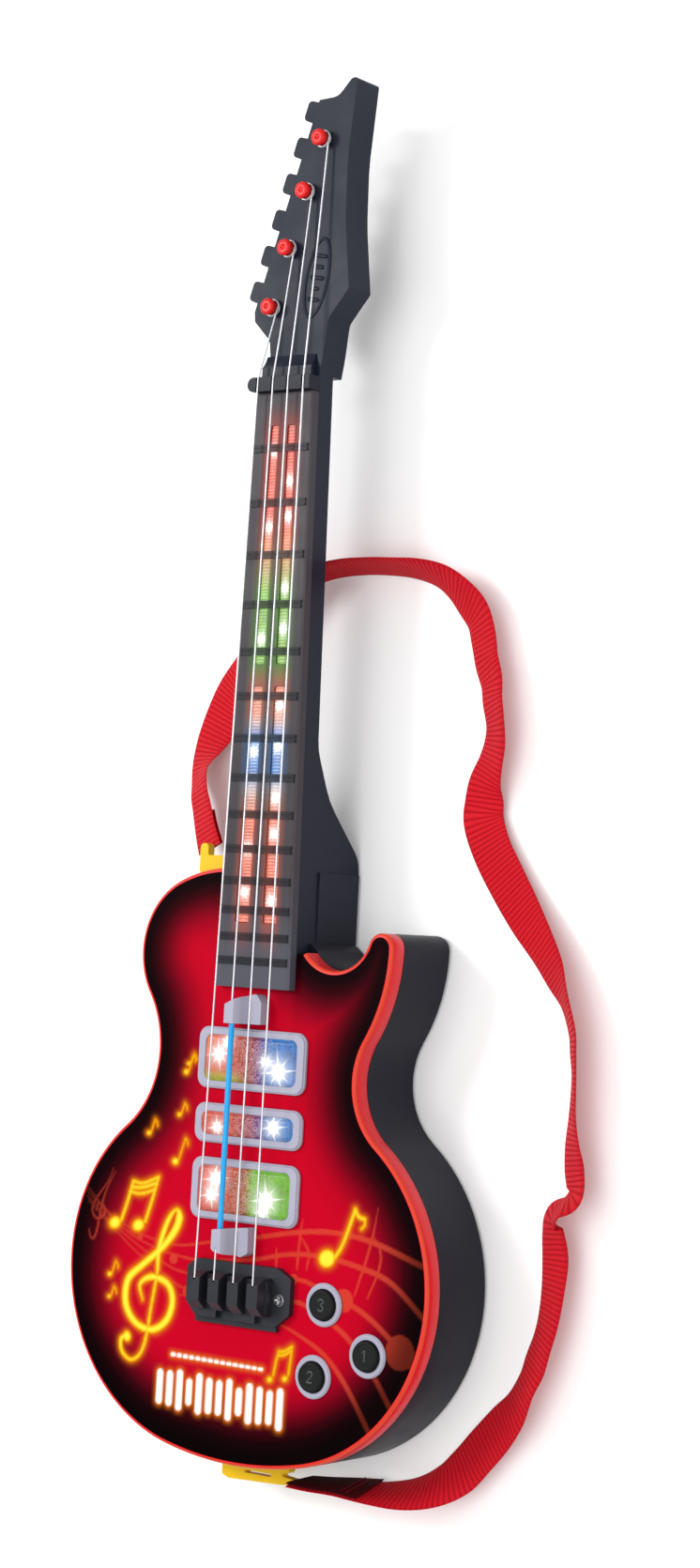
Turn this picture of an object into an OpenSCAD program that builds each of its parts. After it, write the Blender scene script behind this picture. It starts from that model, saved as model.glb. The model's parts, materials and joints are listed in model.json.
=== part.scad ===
// Toy electric guitar with lights, four strings, three play buttons and a webbing strap.
// It lies on its back: +Z leaves the face, +Y runs up the neck, X goes across.
// y = 0 is the line where the strings meet the bridge, and z = 0 is the flat back.

/* [Body] */
// Depth of the body from its flat back to its face
body_d = 40; // [39:0.5:42]
// Depth of the red front casing, seen as a band round the side
band_d = 8; // [7:0.5:9]
// Wall thickness of both casings
wall = 2.4; // [2:0.1:2.6]
// Thickness of the printed face sheet
print_t = 0.4; // [0.3:0.1:0.6]
// Radius of the two lower side arcs of the body
bout_r = 70.5; // [69:0.5:72]

/* [Neck] */
// Where the fretboard ends over the body
board_y0 = 112; // [111:0.5:113]
// Where the fretboard meets the nut
board_y1 = 345; // [344:0.5:347]
// Half width of the fretboard at its body end
board_w0 = 18.3; // [17.8:0.1:18.3]
// Half width of the fretboard at the nut
board_w1 = 13.8; // [13.4:0.1:14.2]
// Thickness of the fretboard above the body's face
board_t = 3.7; // [3.2:0.1:4]
// Height of the parting line of the neck's two halves
neck_seam = 34.5; // [34:0.25:35]
// Height of the neck's back along its slim part
neck_back_z = 31.2; // [30.5:0.1:31.5]
// Thickness of the headstock
head_t = 14.5; // [14:0.5:15]

/* [Strings] */
// Diameter of a string
string_d = 1; // [0.8:0.1:1.2]
// Gap between strings at the nut
nut_gap = 7.43; // [7:0.01:7.6]
// Gap between strings at the bridge
bridge_gap = 9.5; // [9:0.1:9.8]

/* [Buttons] */
// Diameter of a button's cap
button_d = 11.6; // [11:0.1:11.8]
// How far a button travels
button_travel = 1.6; // [1:0.1:1.8]

/* [Strap] */
// Width of the webbing
strap_w = 20; // [18:1:20]
// Thickness of the webbing
strap_t = 1.2; // [1:0.1:1.4]

/* [Hidden] */

$fn = 48;
EPS = 0.01;

// ---- heights -------------------------------------------------------------
FACE = body_d;
SEAM = body_d - band_d;
PLATE = FACE - 2.2;
BOARD_TOP = FACE + board_t;
HEAD_TOP = FACE + 0.5;
HEAD_BACK = HEAD_TOP - head_t;
HEAD_SEAM = 32;
HEEL_BACK = 1.2;
NUT_TOP = 47.4;
STRING_NUT_Z = 47;
STRING_BRIDGE_Z = 51;

// ---- colours -------------------------------------------------------------
BLACK = "#262830";
CHARCOAL = "#3a3d48";
RED = "#e0101e";
GREY = "#a6a6b4";
YELLOW = "#f4cc14";
STEEL = "#c8ccd0";
BOARD_GREEN = "#2c7a3c";

// ---- outline tools -------------------------------------------------------
// Points along an arc from angle a0 to a1, one every step_mm or closer
function arc(c, r, a0, a1, step_mm = 4) =
    let (n = max(2, ceil(abs(a1 - a0) * PI / 180 * r / step_mm)))
    [for (i = [0:n]) let (a = a0 + (a1 - a0) * i / n) [c[0] + r * cos(a), c[1] + r * sin(a)]];

// Centre of the circle that is r1 from p and r2 from q, on the left of the line p to q
function meet(p, r1, q, r2) =
    let (d = norm(q - p), a = (r1 * r1 - r2 * r2 + d * d) / (2 * d), h = sqrt(r1 * r1 - a * a),
        u = (q - p) / d)
    p + a * u + h * [-u[1], u[0]];

// Direction from p to q in degrees, from 0 to 360
function heading(p, q) = let (a = atan2(q[1] - p[1], q[0] - p[0])) a < 0 ? a + 360 : a;

function unit(v) = v / norm(v);

// A polygon [x, y, corner radius] with each corner turned into an arc
function rounded(pts) = [for (i = [0:len(pts) - 1])
    let (n = len(pts), p = [pts[i][0], pts[i][1]], r = pts[i][2],
        a = [pts[(i + n - 1) % n][0], pts[(i + n - 1) % n][1]],
            b = [pts[(i + 1) % n][0], pts[(i + 1) % n][1]],
        da = unit(a - p), db = unit(b - p), half = acos(max(-1, min(1, da * db))) / 2,
        t = r / tan(half), c = p + unit(da + db) * r / sin(half),
        s = p + da * t, e = p + db * t, a0 = atan2(s[1] - c[1], s[0] - c[0]),
        turn = (atan2(e[1] - c[1], e[0] - c[0]) - a0 + 540) % 360 - 180, k = max(1, ceil(abs(turn) / 15)))
    each r < EPS ? [p] : [for (j = [0:k]) c + r * [cos(a0 + turn * j / k), sin(a0 + turn * j / k)]]];

// A bar of radius r from point a to point b
module rod(a, b, r) {
    v = b - a;
    translate(a)
        rotate([0, acos(v[2] / norm(v)), atan2(v[1], v[0])])
            cylinder(r = r, h = norm(v), $fn = 16);
}

// A plate with rounded corners, centred on x and y
module pad(w, l, r, h) {
    linear_extrude(h) polygon(rounded([[w / 2, l / 2, r], [-w / 2, l / 2, r], [-w / 2, -l / 2, r],
        [w / 2, -l / 2, r]]));
}

// A ring of outer radius ro and inner radius ri
module tube(ro, ri, h) {
    difference() {
        cylinder(r = ro, h = h);
        translate([0, 0, -1]) cylinder(r = ri, h = h + 2);
    }
}

// Closed strip of quadrilateral rings, each a list of four points
module strip(rings) {
    n = len(rings);
    polyhedron(
        points = [for (ring = rings) each ring],
        faces = concat(
            [[0, 1, 2, 3]],
            [for (i = [0:n - 2], j = [0:3]) let (k = (j + 1) % 4)
                each [[4 * i + j, 4 * i + 4 + j, 4 * i + 4 + k], [4 * i + j, 4 * i + 4 + k, 4 * i + k]]],
            [[4 * n - 1, 4 * n - 2, 4 * n - 3, 4 * n - 4]]));
}

// ---- body outline --------------------------------------------------------
// Every arc touches the next, so an inset only changes the radii.
LOBE_L = [88 - bout_r - 35, 0];
LOBE_R = [-LOBE_L[0], 0];
TAIL_DROP = 2;
TAIL = [0, (LOBE_R[0] * LOBE_R[0] - TAIL_DROP * TAIL_DROP) / (2 * TAIL_DROP)];
TAIL_R = TAIL[1] + bout_r + TAIL_DROP;
SHOULDER = [-28, 124];
SHOULDER_R = 31.6;
COLLAR_R = 60;
COLLAR_A = 115;
COLLAR = SHOULDER - (COLLAR_R - SHOULDER_R) * [cos(COLLAR_A), sin(COLLAR_A)];
WAIST_LR = 40;
WAIST_L = meet(LOBE_L, bout_r + WAIST_LR, SHOULDER, SHOULDER_R + WAIST_LR);
HORN = [57.5, 130.2];
HORN_R = 5.8;
FLANK_R = 70;
FLANK = HORN - [FLANK_R - HORN_R, 0];
WAIST_RR = 30;
WAIST_R = meet(FLANK, FLANK_R + WAIST_RR, LOBE_R, bout_r + WAIST_RR);
SCOOP = [35.9, 137.5];
SCOOP_R = norm(SCOOP - HORN) - HORN_R;

function body_points(d) = concat(
    arc(COLLAR, COLLAR_R - d, 92, COLLAR_A),
    arc(SHOULDER, SHOULDER_R - d, COLLAR_A, heading(SHOULDER, WAIST_L)),
    arc(WAIST_L, WAIST_LR + d, heading(WAIST_L, SHOULDER), heading(WAIST_L, LOBE_L) - 360),
    arc(LOBE_L, bout_r - d, heading(LOBE_L, WAIST_L), heading(TAIL, LOBE_L)),
    arc(TAIL, TAIL_R - d, heading(TAIL, LOBE_L), heading(TAIL, LOBE_R)),
    arc(LOBE_R, bout_r - d, heading(TAIL, LOBE_R) - 360, heading(LOBE_R, WAIST_R)),
    arc(WAIST_R, WAIST_RR + d, heading(WAIST_R, LOBE_R), heading(WAIST_R, FLANK)),
    arc(FLANK, FLANK_R - d, heading(FLANK, WAIST_R) - 360, 0),
    arc(HORN, HORN_R - d, 0, heading(HORN, SCOOP), 1.5),
    arc(SCOOP, SCOOP_R + d, heading(SCOOP, HORN), 215, 2));

// The neck stands in a pocket that is open at the top edge and the back
POCKET_W = 18.5;
POCKET_Y = 114;

module body_area(d = 0) {
    difference() {
        polygon(body_points(d));
        translate([-POCKET_W - d, POCKET_Y - d]) square([2 * (POCKET_W + d), 60]);
    }
}

module body_slab(z0, z1, d = 0) {
    translate([0, 0, z0]) linear_extrude(z1 - z0) body_area(d);
}

// Edge rounded in steps of a quarter circle; up turns it over
module body_round(z, r, steps, up) {
    for (i = [0:steps - 1]) {
        a = 90 * i / steps;
        b = 90 * (i + 1) / steps;
        d = r * (1 - cos(up ? b : 90 - a));
        z0 = up ? z - r + r * sin(a) : z + r - r * sin(90 - a);
        z1 = up ? z - r + r * sin(b) : z + r - r * sin(90 - b);
        body_slab(z0, z1, d);
    }
}

// ---- places --------------------------------------------------------------
// Body screws, from the back
SCREWS = [[-76, -6], [77.5, 6], [-46, -54], [46, -54], [-54, 50], [55, 48], [-42, 127], [48, 112]];
SCREW_SEAT = 7;
// Play buttons
BUTTONS = [[40.8, -5.9], [62.3, -22.6], [37.5, -33.5]];
// Pickup light windows: [centre y, half height of the frame, half height of the lens]
PICKUPS = [[83.9, 12, 8.9], [58.4, 7.7, 4.4], [33, 12, 8.9]];
FRAME_W = 52.6;
LENS_W = 44.6;
// Light and control boards
LIGHT_BOARD_Z = 31.4;
LIGHT_BOARD = [[-24, 17], [24, 97]];
LIGHT_POSTS = [[-21, 20], [21, 20], [-21, 71], [21, 71]];
CONTROL_Z = 28.6;
CONTROL_BOARD = [[26, -46], [72, 4]];
CONTROL_POSTS = [[29, -19], [52, -3], [42, -43], [69, -9]];
BOARD_T = 1.6;
// Speaker
SPEAKER = [-8, -37];
SPEAKER_R = 28;
GRILLE_R = 24;
// Battery bay
BAY_X = 29.6;
BAY_Y0 = 15;
BAY_Y1 = 61;
BAY_TOP = 18.6;
BAY_WALL = 3;
CELL_R = 7.1;
CELL_L = 50.5;
CELL_PITCH = 15;
CELL_Z = 10.4;
DOOR_GAP = 0.4;
DOOR_LAP = 1.2;
DOOR_X = BAY_X + DOOR_LAP;
DOOR_Z0 = 0.5;
DOOR_T = 2;
DOOR_TAB = [14, 9];
DOOR_SCREW = [0, 67];
// Round hinge edge of the door: its centre and radius
HINGE_Y = 13;
HINGE_Z = 1.3;
HINGE_R = 1.1;
TAB_X = 18;
// Power switch
SWITCH = [-52, 0];
SWITCH_TRAVEL = 4;
// Screws and height of the tongue that the neck runs into the body
TONGUE_SCREWS = [[-7, 102], [7, 102]];
TONGUE_Z = 20;
TONGUE_T = 3;
// Strap clips: both stand at mid depth
CLIP_Z = 18;
CLIP_T = 4;

function cell_y(i) = (BAY_Y0 + BAY_Y1) / 2 + CELL_PITCH * (i - 1);

// ---- casings -------------------------------------------------------------
module back_shell() {
    boss_r = 4.6;
    color(BLACK)
    difference() {
        union() {
            difference() {
                union() {
                    body_round(0, 2.4, 4, false);
                    body_slab(2.4, SEAM);
                }
                body_slab(wall, SEAM + 1, wall);
            }
            intersection() {
                for (s = SCREWS) translate([s[0], s[1], 1]) cylinder(r = boss_r, h = SEAM - 1);
                body_slab(1, SEAM, 0.5);
            }
            // Battery bay with a roof
            translate([-BAY_X - BAY_WALL, BAY_Y0 - BAY_WALL, wall - 1])
                cube([2 * (BAY_X + BAY_WALL), BAY_Y1 - BAY_Y0 + 2 * BAY_WALL,
                    BAY_TOP + BAY_WALL - wall + 1]);
            translate([-DOOR_TAB[0] / 2 - 2.4, BAY_Y1 + 1, wall - 1])
                cube([DOOR_TAB[0] + 4.8, DOOR_TAB[1] + 4, 3]);
            translate([DOOR_SCREW[0], DOOR_SCREW[1], wall]) cylinder(r = 4.2, h = 9);
            // Speaker wall and its three clamp bosses
            translate([SPEAKER[0], SPEAKER[1], wall - 1]) tube(SPEAKER_R + 1.9, SPEAKER_R + 0.3, 4.5);
            // Board posts
            for (p = CONTROL_POSTS) translate([p[0], p[1], wall - 1])
                cylinder(r = 2.6, h = CONTROL_Z - wall + 1);
            // Bosses under the neck's tongue
            for (p = TONGUE_SCREWS) translate([p[0], p[1], wall - 1])
                cylinder(r = 3.6, h = TONGUE_Z - wall + 1);
            // Switch cradle
            for (s = [-1, 1]) translate([SWITCH[0] - 4, SWITCH[1] + s * 9.2 - 1, wall - 1])
                cube([8, 2, 9]);
        }
        // Screw holes with sunk heads
        for (s = SCREWS) translate([s[0], s[1], -1]) {
            cylinder(r = 1.5, h = SEAM + 2);
            cylinder(r = 3, h = 1 + SCREW_SEAT);
        }
        for (p = TONGUE_SCREWS) translate([p[0], p[1], 8]) cylinder(r = 1.4, h = 20);
        // Inside of the battery bay, and the door's seat
        translate([-BAY_X, BAY_Y0, -1]) cube([2 * BAY_X, BAY_Y1 - BAY_Y0, BAY_TOP + 1]);
        translate([-DOOR_X - DOOR_GAP, BAY_Y0 - DOOR_LAP - DOOR_GAP, -1])
            cube([2 * (DOOR_X + DOOR_GAP), BAY_Y1 - BAY_Y0 + 2 * (DOOR_LAP + DOOR_GAP),
                1 + DOOR_Z0 + DOOR_T + 0.2]);
        translate([-DOOR_TAB[0] / 2 - DOOR_GAP, BAY_Y1, -1])
            cube([DOOR_TAB[0] + 2 * DOOR_GAP, DOOR_LAP + DOOR_TAB[1] + DOOR_GAP,
                1 + DOOR_Z0 + DOOR_T + 0.2]);
        translate([DOOR_SCREW[0], DOOR_SCREW[1], -1]) cylinder(r = 2.1, h = 11.5);
        // Round seat of the door's hinge edge, open to the outside
        translate([-DOOR_X - DOOR_GAP, HINGE_Y, HINGE_Z])
            rotate([0, 90, 0]) cylinder(r = HINGE_R + 0.08, h = 2 * (DOOR_X + DOOR_GAP));
        translate([-DOOR_X - DOOR_GAP, HINGE_Y - HINGE_R - 0.08, -1])
            cube([2 * (DOOR_X + DOOR_GAP), HINGE_R + 0.6, 1 + HINGE_Z]);
        // Windows for the door's two hook tabs
        for (s = [-1, 1]) translate([s * TAB_X - 6, BAY_Y0 - 7.5, wall]) cube([12, 8, 5]);
        // Speaker grille: slots whose ends follow a circle
        for (i = [-5:5]) {
            half = sqrt(GRILLE_R * GRILLE_R - i * i * 16);
            translate([SPEAKER[0] - half, SPEAKER[1] + 4 * i - 0.9, -1]) cube([2 * half, 1.8, wall + 2]);
        }
        // Slot of the power switch
        translate([SWITCH[0] - 2, SWITCH[1] - 4.8, -1]) cube([4, 9.6, wall + 2]);
        translate([SWITCH[0] - 3.5, SWITCH[1] - 6.5, -1]) cube([7, 13, 1.5]);
        // Opening for the neck's tongue
        translate([-12.2, 104, 19.8]) cube([24.4, POCKET_Y - 103, 3.4]);
        // Slots for the strap clips
        translate([-38.15, 140, CLIP_Z - 0.1]) cube([10.3, 22, CLIP_T + 0.2]);
        translate([-6.15, -80, CLIP_Z - 0.1]) cube([12.3, 20, CLIP_T + 0.2]);
    }
}

module front_shell() {
    bevel = 1.3;
    color(RED)
    difference() {
        union() {
            difference() {
                union() {
                    body_slab(SEAM, FACE - bevel);
                    body_round(FACE, bevel, 3, true);
                }
                body_slab(SEAM - 1, PLATE, wall);
            }
            // Tongue that fits inside the back casing
            difference() {
                body_slab(SEAM - 1.5, PLATE, wall + 0.15);
                body_slab(SEAM - 2, PLATE + 1, wall + 1.5);
            }
            for (s = SCREWS) translate([s[0], s[1], SEAM]) cylinder(r = 3.6, h = PLATE - SEAM + 0.5);
            for (p = LIGHT_POSTS) translate([p[0], p[1], LIGHT_BOARD_Z + BOARD_T])
                cylinder(r = 2.2, h = PLATE - LIGHT_BOARD_Z - 1);
        }
        // Seat of the printed sheet
        body_slab(FACE - print_t, FACE + 1, 3);
        for (s = SCREWS) translate([s[0], s[1], SEAM - 1]) cylinder(r = 1.3, h = 5.6);
        for (p = LIGHT_POSTS) translate([p[0], p[1], LIGHT_BOARD_Z]) cylinder(r = 0.9, h = 5.4);
        for (b = BUTTONS) translate([b[0], b[1], PLATE - 1]) cylinder(r = 7.3, h = 5);
        for (p = PICKUPS) translate([0, p[0], PLATE - 1]) pad(LENS_W + 3.2, 2 * p[2] + 3.2, 3.4, 5);
        // Seats of the bridge's screws
        for (s = [-1, 1]) translate([s * 20.7, -6.4, PLATE - 1]) cylinder(r = 1.2, h = 5);
    }
}

module face_print() {
    color("#c00020")
    difference() {
        body_slab(FACE - print_t, FACE, 3.1);
        for (b = BUTTONS) translate([b[0], b[1], FACE - 1]) cylinder(r = 7.4, h = 2);
        for (p = PICKUPS) translate([0, p[0], FACE - 1]) pad(LENS_W + 3.4, 2 * p[2] + 3.4, 3.5, 2);
        for (s = [-1, 1]) translate([s * 20.7, -6.4, FACE - 1]) cylinder(r = 1.3, h = 2);
    }
}

// ---- pickup lights -------------------------------------------------------
module pickup_frame(i) {
    p = PICKUPS[i];
    color(GREY)
    translate([0, p[0], 0])
    difference() {
        union() {
            translate([0, 0, FACE]) pad(FRAME_W, 2 * p[1], 4.5, 1.3);
            translate([0, 0, FACE + 1.3]) pad(FRAME_W - 1.2, 2 * p[1] - 1.2, 3.9, 0.7);
            translate([0, 0, PLATE - 0.6]) pad(LENS_W + 2.8, 2 * p[2] + 2.8, 3.2, 3);
        }
        translate([0, 0, PLATE - 2]) pad(LENS_W + 0.2, 2 * p[2] + 0.2, 3, 8);
    }
}

module light_lens(i) {
    p = PICKUPS[i];
    color("#ffd8c8")
    translate([0, p[0], 0]) {
        translate([0, 0, PLATE - 0.8]) pad(LENS_W, 2 * p[2], 2.9, FACE + 3.3 - PLATE + 0.4);
        translate([0, 0, PLATE - 1.8]) pad(LENS_W + 2, 2 * p[2] + 2, 3, 1);
    }
}

module light_board() {
    color(BOARD_GREEN)
    difference() {
        translate([LIGHT_BOARD[0][0], LIGHT_BOARD[0][1], LIGHT_BOARD_Z])
            cube([LIGHT_BOARD[1][0] - LIGHT_BOARD[0][0], LIGHT_BOARD[1][1] - LIGHT_BOARD[0][1], BOARD_T]);
        for (p = LIGHT_POSTS) translate([p[0], p[1], LIGHT_BOARD_Z - 1]) cylinder(r = 0.9, h = 4);
    }
}

// One lamp: a lead-free base and a round dome
module led(r, h) {
    cylinder(r = r + 0.4, h = 0.6, $fn = 24);
    cylinder(r = r, h = h - r, $fn = 24);
    translate([0, 0, h - r]) sphere(r = r, $fn = 24);
}

module pickup_leds() {
    color("white")
    for (p = PICKUPS, x = [-13, 0, 13]) translate([x, p[0], LIGHT_BOARD_Z + BOARD_T]) led(1.3, 2.6);
}

// ---- buttons -------------------------------------------------------------
module button_ring(i) {
    color(GREY)
    translate([BUTTONS[i][0], BUTTONS[i][1], 0]) {
        translate([0, 0, FACE]) tube(8.3, button_d / 2 + 0.3, 0.8);
        translate([0, 0, FACE + 0.8]) tube(7.9, button_d / 2 + 0.3, 0.4);
        translate([0, 0, PLATE]) tube(7.2, button_d / 2 + 0.3, 2.4);
    }
}

module button(i) {
    color("#17181c")
    translate([BUTTONS[i][0], BUTTONS[i][1], 0]) {
        translate([0, 0, PLATE - 1.6]) cylinder(r = 7.8, h = 1.3);
        translate([0, 0, PLATE - 0.4]) cylinder(r = button_d / 2, h = FACE + 2.5 - PLATE + 0.4);
        translate([0, 0, FACE + 2.5 - EPS]) cylinder(r1 = button_d / 2, r2 = button_d / 2 - 0.6, h = 0.5);
        translate([0, 0, PLATE - 4.2]) cylinder(r = 2.2, h = 3);
    }
}

module button_dome(i) {
    top = PLATE - 4.3;
    base = CONTROL_Z + BOARD_T;
    color("#d8d8d0")
    translate([BUTTONS[i][0], BUTTONS[i][1], base]) {
        cylinder(r = 5, h = 0.6);
        cylinder(r1 = 4.2, r2 = 2.6, h = top - base);
    }
}

module control_board() {
    color(BOARD_GREEN)
    difference() {
        translate([CONTROL_BOARD[0][0], CONTROL_BOARD[0][1], CONTROL_Z])
            cube([CONTROL_BOARD[1][0] - CONTROL_BOARD[0][0], CONTROL_BOARD[1][1] - CONTROL_BOARD[0][1],
                BOARD_T]);
        for (p = CONTROL_POSTS) translate([p[0], p[1], CONTROL_Z - 1]) cylinder(r = 0.9, h = 4);
        // Corner cut clear of the casing and of a screw boss
        translate([CONTROL_BOARD[1][0], CONTROL_BOARD[0][1], CONTROL_Z + BOARD_T / 2])
            rotate(45) cube([38, 38, 4], center = true);
    }
    color("#18181a") translate([44, -22, CONTROL_Z - 1.2]) cylinder(r = 4, h = 1.2);
    color("#18181a") translate([32, -10, CONTROL_Z - 1.6]) cube([8, 6, 1.6]);
}

module board_screws() {
    color(STEEL) {
        for (p = LIGHT_POSTS) translate([p[0], p[1], 0]) {
            translate([0, 0, LIGHT_BOARD_Z - 1.2]) cylinder(r = 1.7, h = 1.2, $fn = 24);
            translate([0, 0, LIGHT_BOARD_Z - 0.2]) cylinder(r = 0.9, h = 5, $fn = 24);
        }
        for (p = CONTROL_POSTS) translate([p[0], p[1], 0]) {
            translate([0, 0, CONTROL_Z + BOARD_T]) cylinder(r = 1.7, h = 1.2, $fn = 24);
            translate([0, 0, CONTROL_Z]) cylinder(r = 0.9, h = BOARD_T + 0.2, $fn = 24);
        }
    }
}

// ---- sound ---------------------------------------------------------------
module speaker_frame() {
    color("#55585e")
    translate([SPEAKER[0], SPEAKER[1], wall])
    difference() {
        union() {
            cylinder(r = SPEAKER_R, h = 1.4);
            translate([0, 0, 1.4 - EPS]) cylinder(r1 = 25.5, r2 = 14, h = 8);
        }
        translate([0, 0, -1]) cylinder(r = 24.4, h = 1.6);
        translate([0, 0, 0.6 - EPS]) cylinder(r1 = 24.4, r2 = 12.6, h = 8);
        translate([0, 0, 8]) cylinder(r = 9, h = 3);
    }
}

module speaker_cone() {
    color("#2a2a2c")
    translate([SPEAKER[0], SPEAKER[1], wall])
    difference() {
        union() {
            translate([0, 0, 0.1]) cylinder(r = 24.35, h = 0.4);
            translate([0, 0, 0.4]) cylinder(r1 = 23.4, r2 = 9.2, h = 6.8);
        }
        cylinder(r1 = 22.6, r2 = 8.4, h = 6.4);
    }
}

module speaker_magnet() {
    color("#1c1c20")
    translate([SPEAKER[0], SPEAKER[1], wall + 9.4]) cylinder(r = 15, h = 8);
}

// ---- power ---------------------------------------------------------------
module batteries() {
    color("#b8a25a")
    for (i = [0:2]) {
        s = i % 2 == 0 ? 1 : -1;
        translate([-CELL_L / 2 * s, cell_y(i), CELL_Z]) rotate([0, 90 * s, 0]) {
            cylinder(r = CELL_R, h = CELL_L - 1);
            translate([0, 0, CELL_L - 1]) cylinder(r = 2.6, h = 1);
        }
    }
}

// Points of a cone-shaped coil along x, wide end at the wall
function coil(turns, r0, r1, length) = [for (i = [0:turns * 10])
    let (t = i / (turns * 10), a = 36 * i, r = r0 + (r1 - r0) * t) [length * t, r * cos(a), r * sin(a)]];

// Square wire bent along a path
function wire_rings(path, w) = [for (i = [0:len(path) - 1])
    let (p = path[i], out = unit([0, p[1], p[2]]))
    [p + w * out, p + [w, 0, 0], p - w * out, p - [w, 0, 0]]];

module battery_springs() {
    color(STEEL)
    for (i = [0:2]) {
        s = i % 2 == 0 ? -1 : 1;
        translate([s * (BAY_X - 0.95), cell_y(i), CELL_Z]) mirror([s > 0 ? 1 : 0, 0, 0])
            strip(wire_rings(coil(3, 5.2, 3.2, 2.6), 0.35));
    }
}

module battery_plates() {
    color(STEEL)
    for (i = [0:2]) {
        s = i % 2 == 0 ? 1 : -1;
        for (side = [-1, 1]) translate([side * (BAY_X - 0.3) - 0.25, cell_y(i) - 5.5, CELL_Z - 5.5])
            cube([0.5, 11, 11]);
        // Button that reaches the cell's raised end
        translate([s * CELL_L / 2, cell_y(i), CELL_Z]) rotate([0, 90 * s, 0])
            cylinder(r = 3, h = BAY_X - 0.4 - CELL_L / 2);
    }
}

module battery_door() {
    color(BLACK)
    difference() {
        union() {
            translate([-DOOR_X, BAY_Y0 - DOOR_LAP, DOOR_Z0])
                cube([2 * DOOR_X, BAY_Y1 - BAY_Y0 + 2 * DOOR_LAP, DOOR_T]);
            translate([-DOOR_TAB[0] / 2, BAY_Y1, DOOR_Z0])
                cube([DOOR_TAB[0], DOOR_LAP + DOOR_TAB[1], DOOR_T]);
            translate([-DOOR_X, HINGE_Y, HINGE_Z]) rotate([0, 90, 0])
                cylinder(r = HINGE_R, h = 2 * DOOR_X);
            for (s = [-1, 1]) {
                translate([s * TAB_X - 4, BAY_Y0 - 4.2, DOOR_Z0 + DOOR_T + 0.3]) cube([8, 6, 1.4]);
                translate([s * TAB_X - 4, BAY_Y0 - 1, DOOR_Z0 + DOOR_T - 0.5]) cube([8, 2.8, 1.5]);
            }
        }
        translate([DOOR_SCREW[0], DOOR_SCREW[1], -1]) cylinder(r = 1.5, h = 6);
        translate([DOOR_SCREW[0], DOOR_SCREW[1], 0]) cylinder(r = 3, h = 1.4);
        // Finger grip of three grooves
        for (i = [-1:1]) translate([-10, 55 + 2.4 * i, 0]) cube([20, 1, DOOR_Z0 + 0.6]);
    }
}

module door_screw() {
    color(STEEL)
    translate([DOOR_SCREW[0], DOOR_SCREW[1], 0])
    difference() {
        union() {
            translate([0, 0, DOOR_Z0 + 0.1]) cylinder(r = 2.8, h = 0.8);
            translate([0, 0, DOOR_Z0 + 0.5]) cylinder(r = 1.4, h = 7);
        }
        for (a = [0, 90]) rotate(a) translate([-1.7, -0.35, 0]) cube([3.4, 0.7, DOOR_Z0 + 0.6]);
    }
}

module switch_body() {
    color("#8a8c90")
    translate([SWITCH[0] - 3.6, SWITCH[1] - 8, 4.1]) cube([7.2, 16, 5.5]);
}

module switch_knob() {
    color(RED)
    translate([SWITCH[0], SWITCH[1] - SWITCH_TRAVEL / 2, 0])
    difference() {
        union() {
            translate([-1.8, -2.6, 0.6]) cube([3.6, 5.2, 3]);
            translate([-3, -4, 2.7]) cube([6, 8, 1.2]);
        }
        for (i = [-1:1]) translate([-2, 1.4 * i - 0.25, 0]) cube([4, 0.5, 0.9]);
    }
}

// ---- neck ----------------------------------------------------------------
function half_width(y) = board_w0 + (board_w1 - board_w0) * (y - board_y0) / (board_y1 - board_y0);

module neck_plan(y0, y1, d = 0) {
    polygon([[-half_width(y0) + d, y0], [half_width(y0) - d, y0], [half_width(y1) - d, y1],
        [-half_width(y1) + d, y1]]);
}

// Outline of the headstock from the nut round its pointed top
HEAD_POINTS = [[13.8, 344, 0], [13.8, 351.5, 4], [15.2, 360, 8], [16.6, 373.5, 6], [25.8, 384.8, 1.5],
    [22.4, 412, 60],
    [21.8, 436, 60], [24.6, 468.3, 1.2], [21.6, 467.6, 1.5], [15.6, 461.2, 6], [6.4, 460.8, 1],
        [-20, 378.5, 1.5],
    [-19.6, 374.6, 1.5], [-11.6, 366.5, 4], [-10.8, 359.5, 4], [-14.6, 352.5, 3], [-13.8, 344, 0]];

module head_area() { polygon(rounded(HEAD_POINTS)); }

// Tuner knob shapes moulded along the slanting left edge, seen from the front
BUMP_REACH = 6.2;
module tuner_bumps(z0, z1) {
    for (i = [0:5]) translate([-17.6 + 4.49 * i, 386 + 14 * i, z0]) rotate(72.2)
        linear_extrude(z1 - z0)
            polygon(rounded([[4.4, -2, 0], [4, BUMP_REACH, 1.8], [-4, BUMP_REACH, 1.8], [-4.4, -2, 0]]));
}

// Side profile of the neck's back and heel, in y and z
HEEL_CURVE = rounded([[352, neck_seam, 0], [352, neck_back_z, 0], [206, neck_back_z, 18],
    [186, 22.5, 30], [164, HEEL_BACK, 10], [POCKET_Y + 0.6, HEEL_BACK, 0],
        [POCKET_Y + 0.6, neck_seam, 0]]);
HEEL_HOLLOW = [[200, neck_seam + 1], [200, 33.2], [186, 26], [166, 5.2], [159, 3.6], [POCKET_Y + 3, 3.6],
    [POCKET_Y + 3, neck_seam + 1]];

// A side profile extruded across the neck
module across(points, w) {
    rotate([90, 0, 90]) linear_extrude(w, center = true) polygon(points);
}

// Screws that close the neck: the last ones sit in the headstock
NECK_SCREWS = [[12.4, 214], [-12.4, 214], [0, 341.6], [3, 372], [15, 434]];
HEAD_SCREW_1 = 3;
HEAD_HOLLOW = [[-9, 366, 2], [13, 366, 3], [22.2, 385, 3], [19, 412, 2], [19, 448, 2], [8, 448, 2],
    [-16, 381, 2]];

// Height of the surface that a neck screw goes in from
function screw_face(s) = s[1] < 350 ? neck_back_z : HEAD_BACK;

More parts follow.
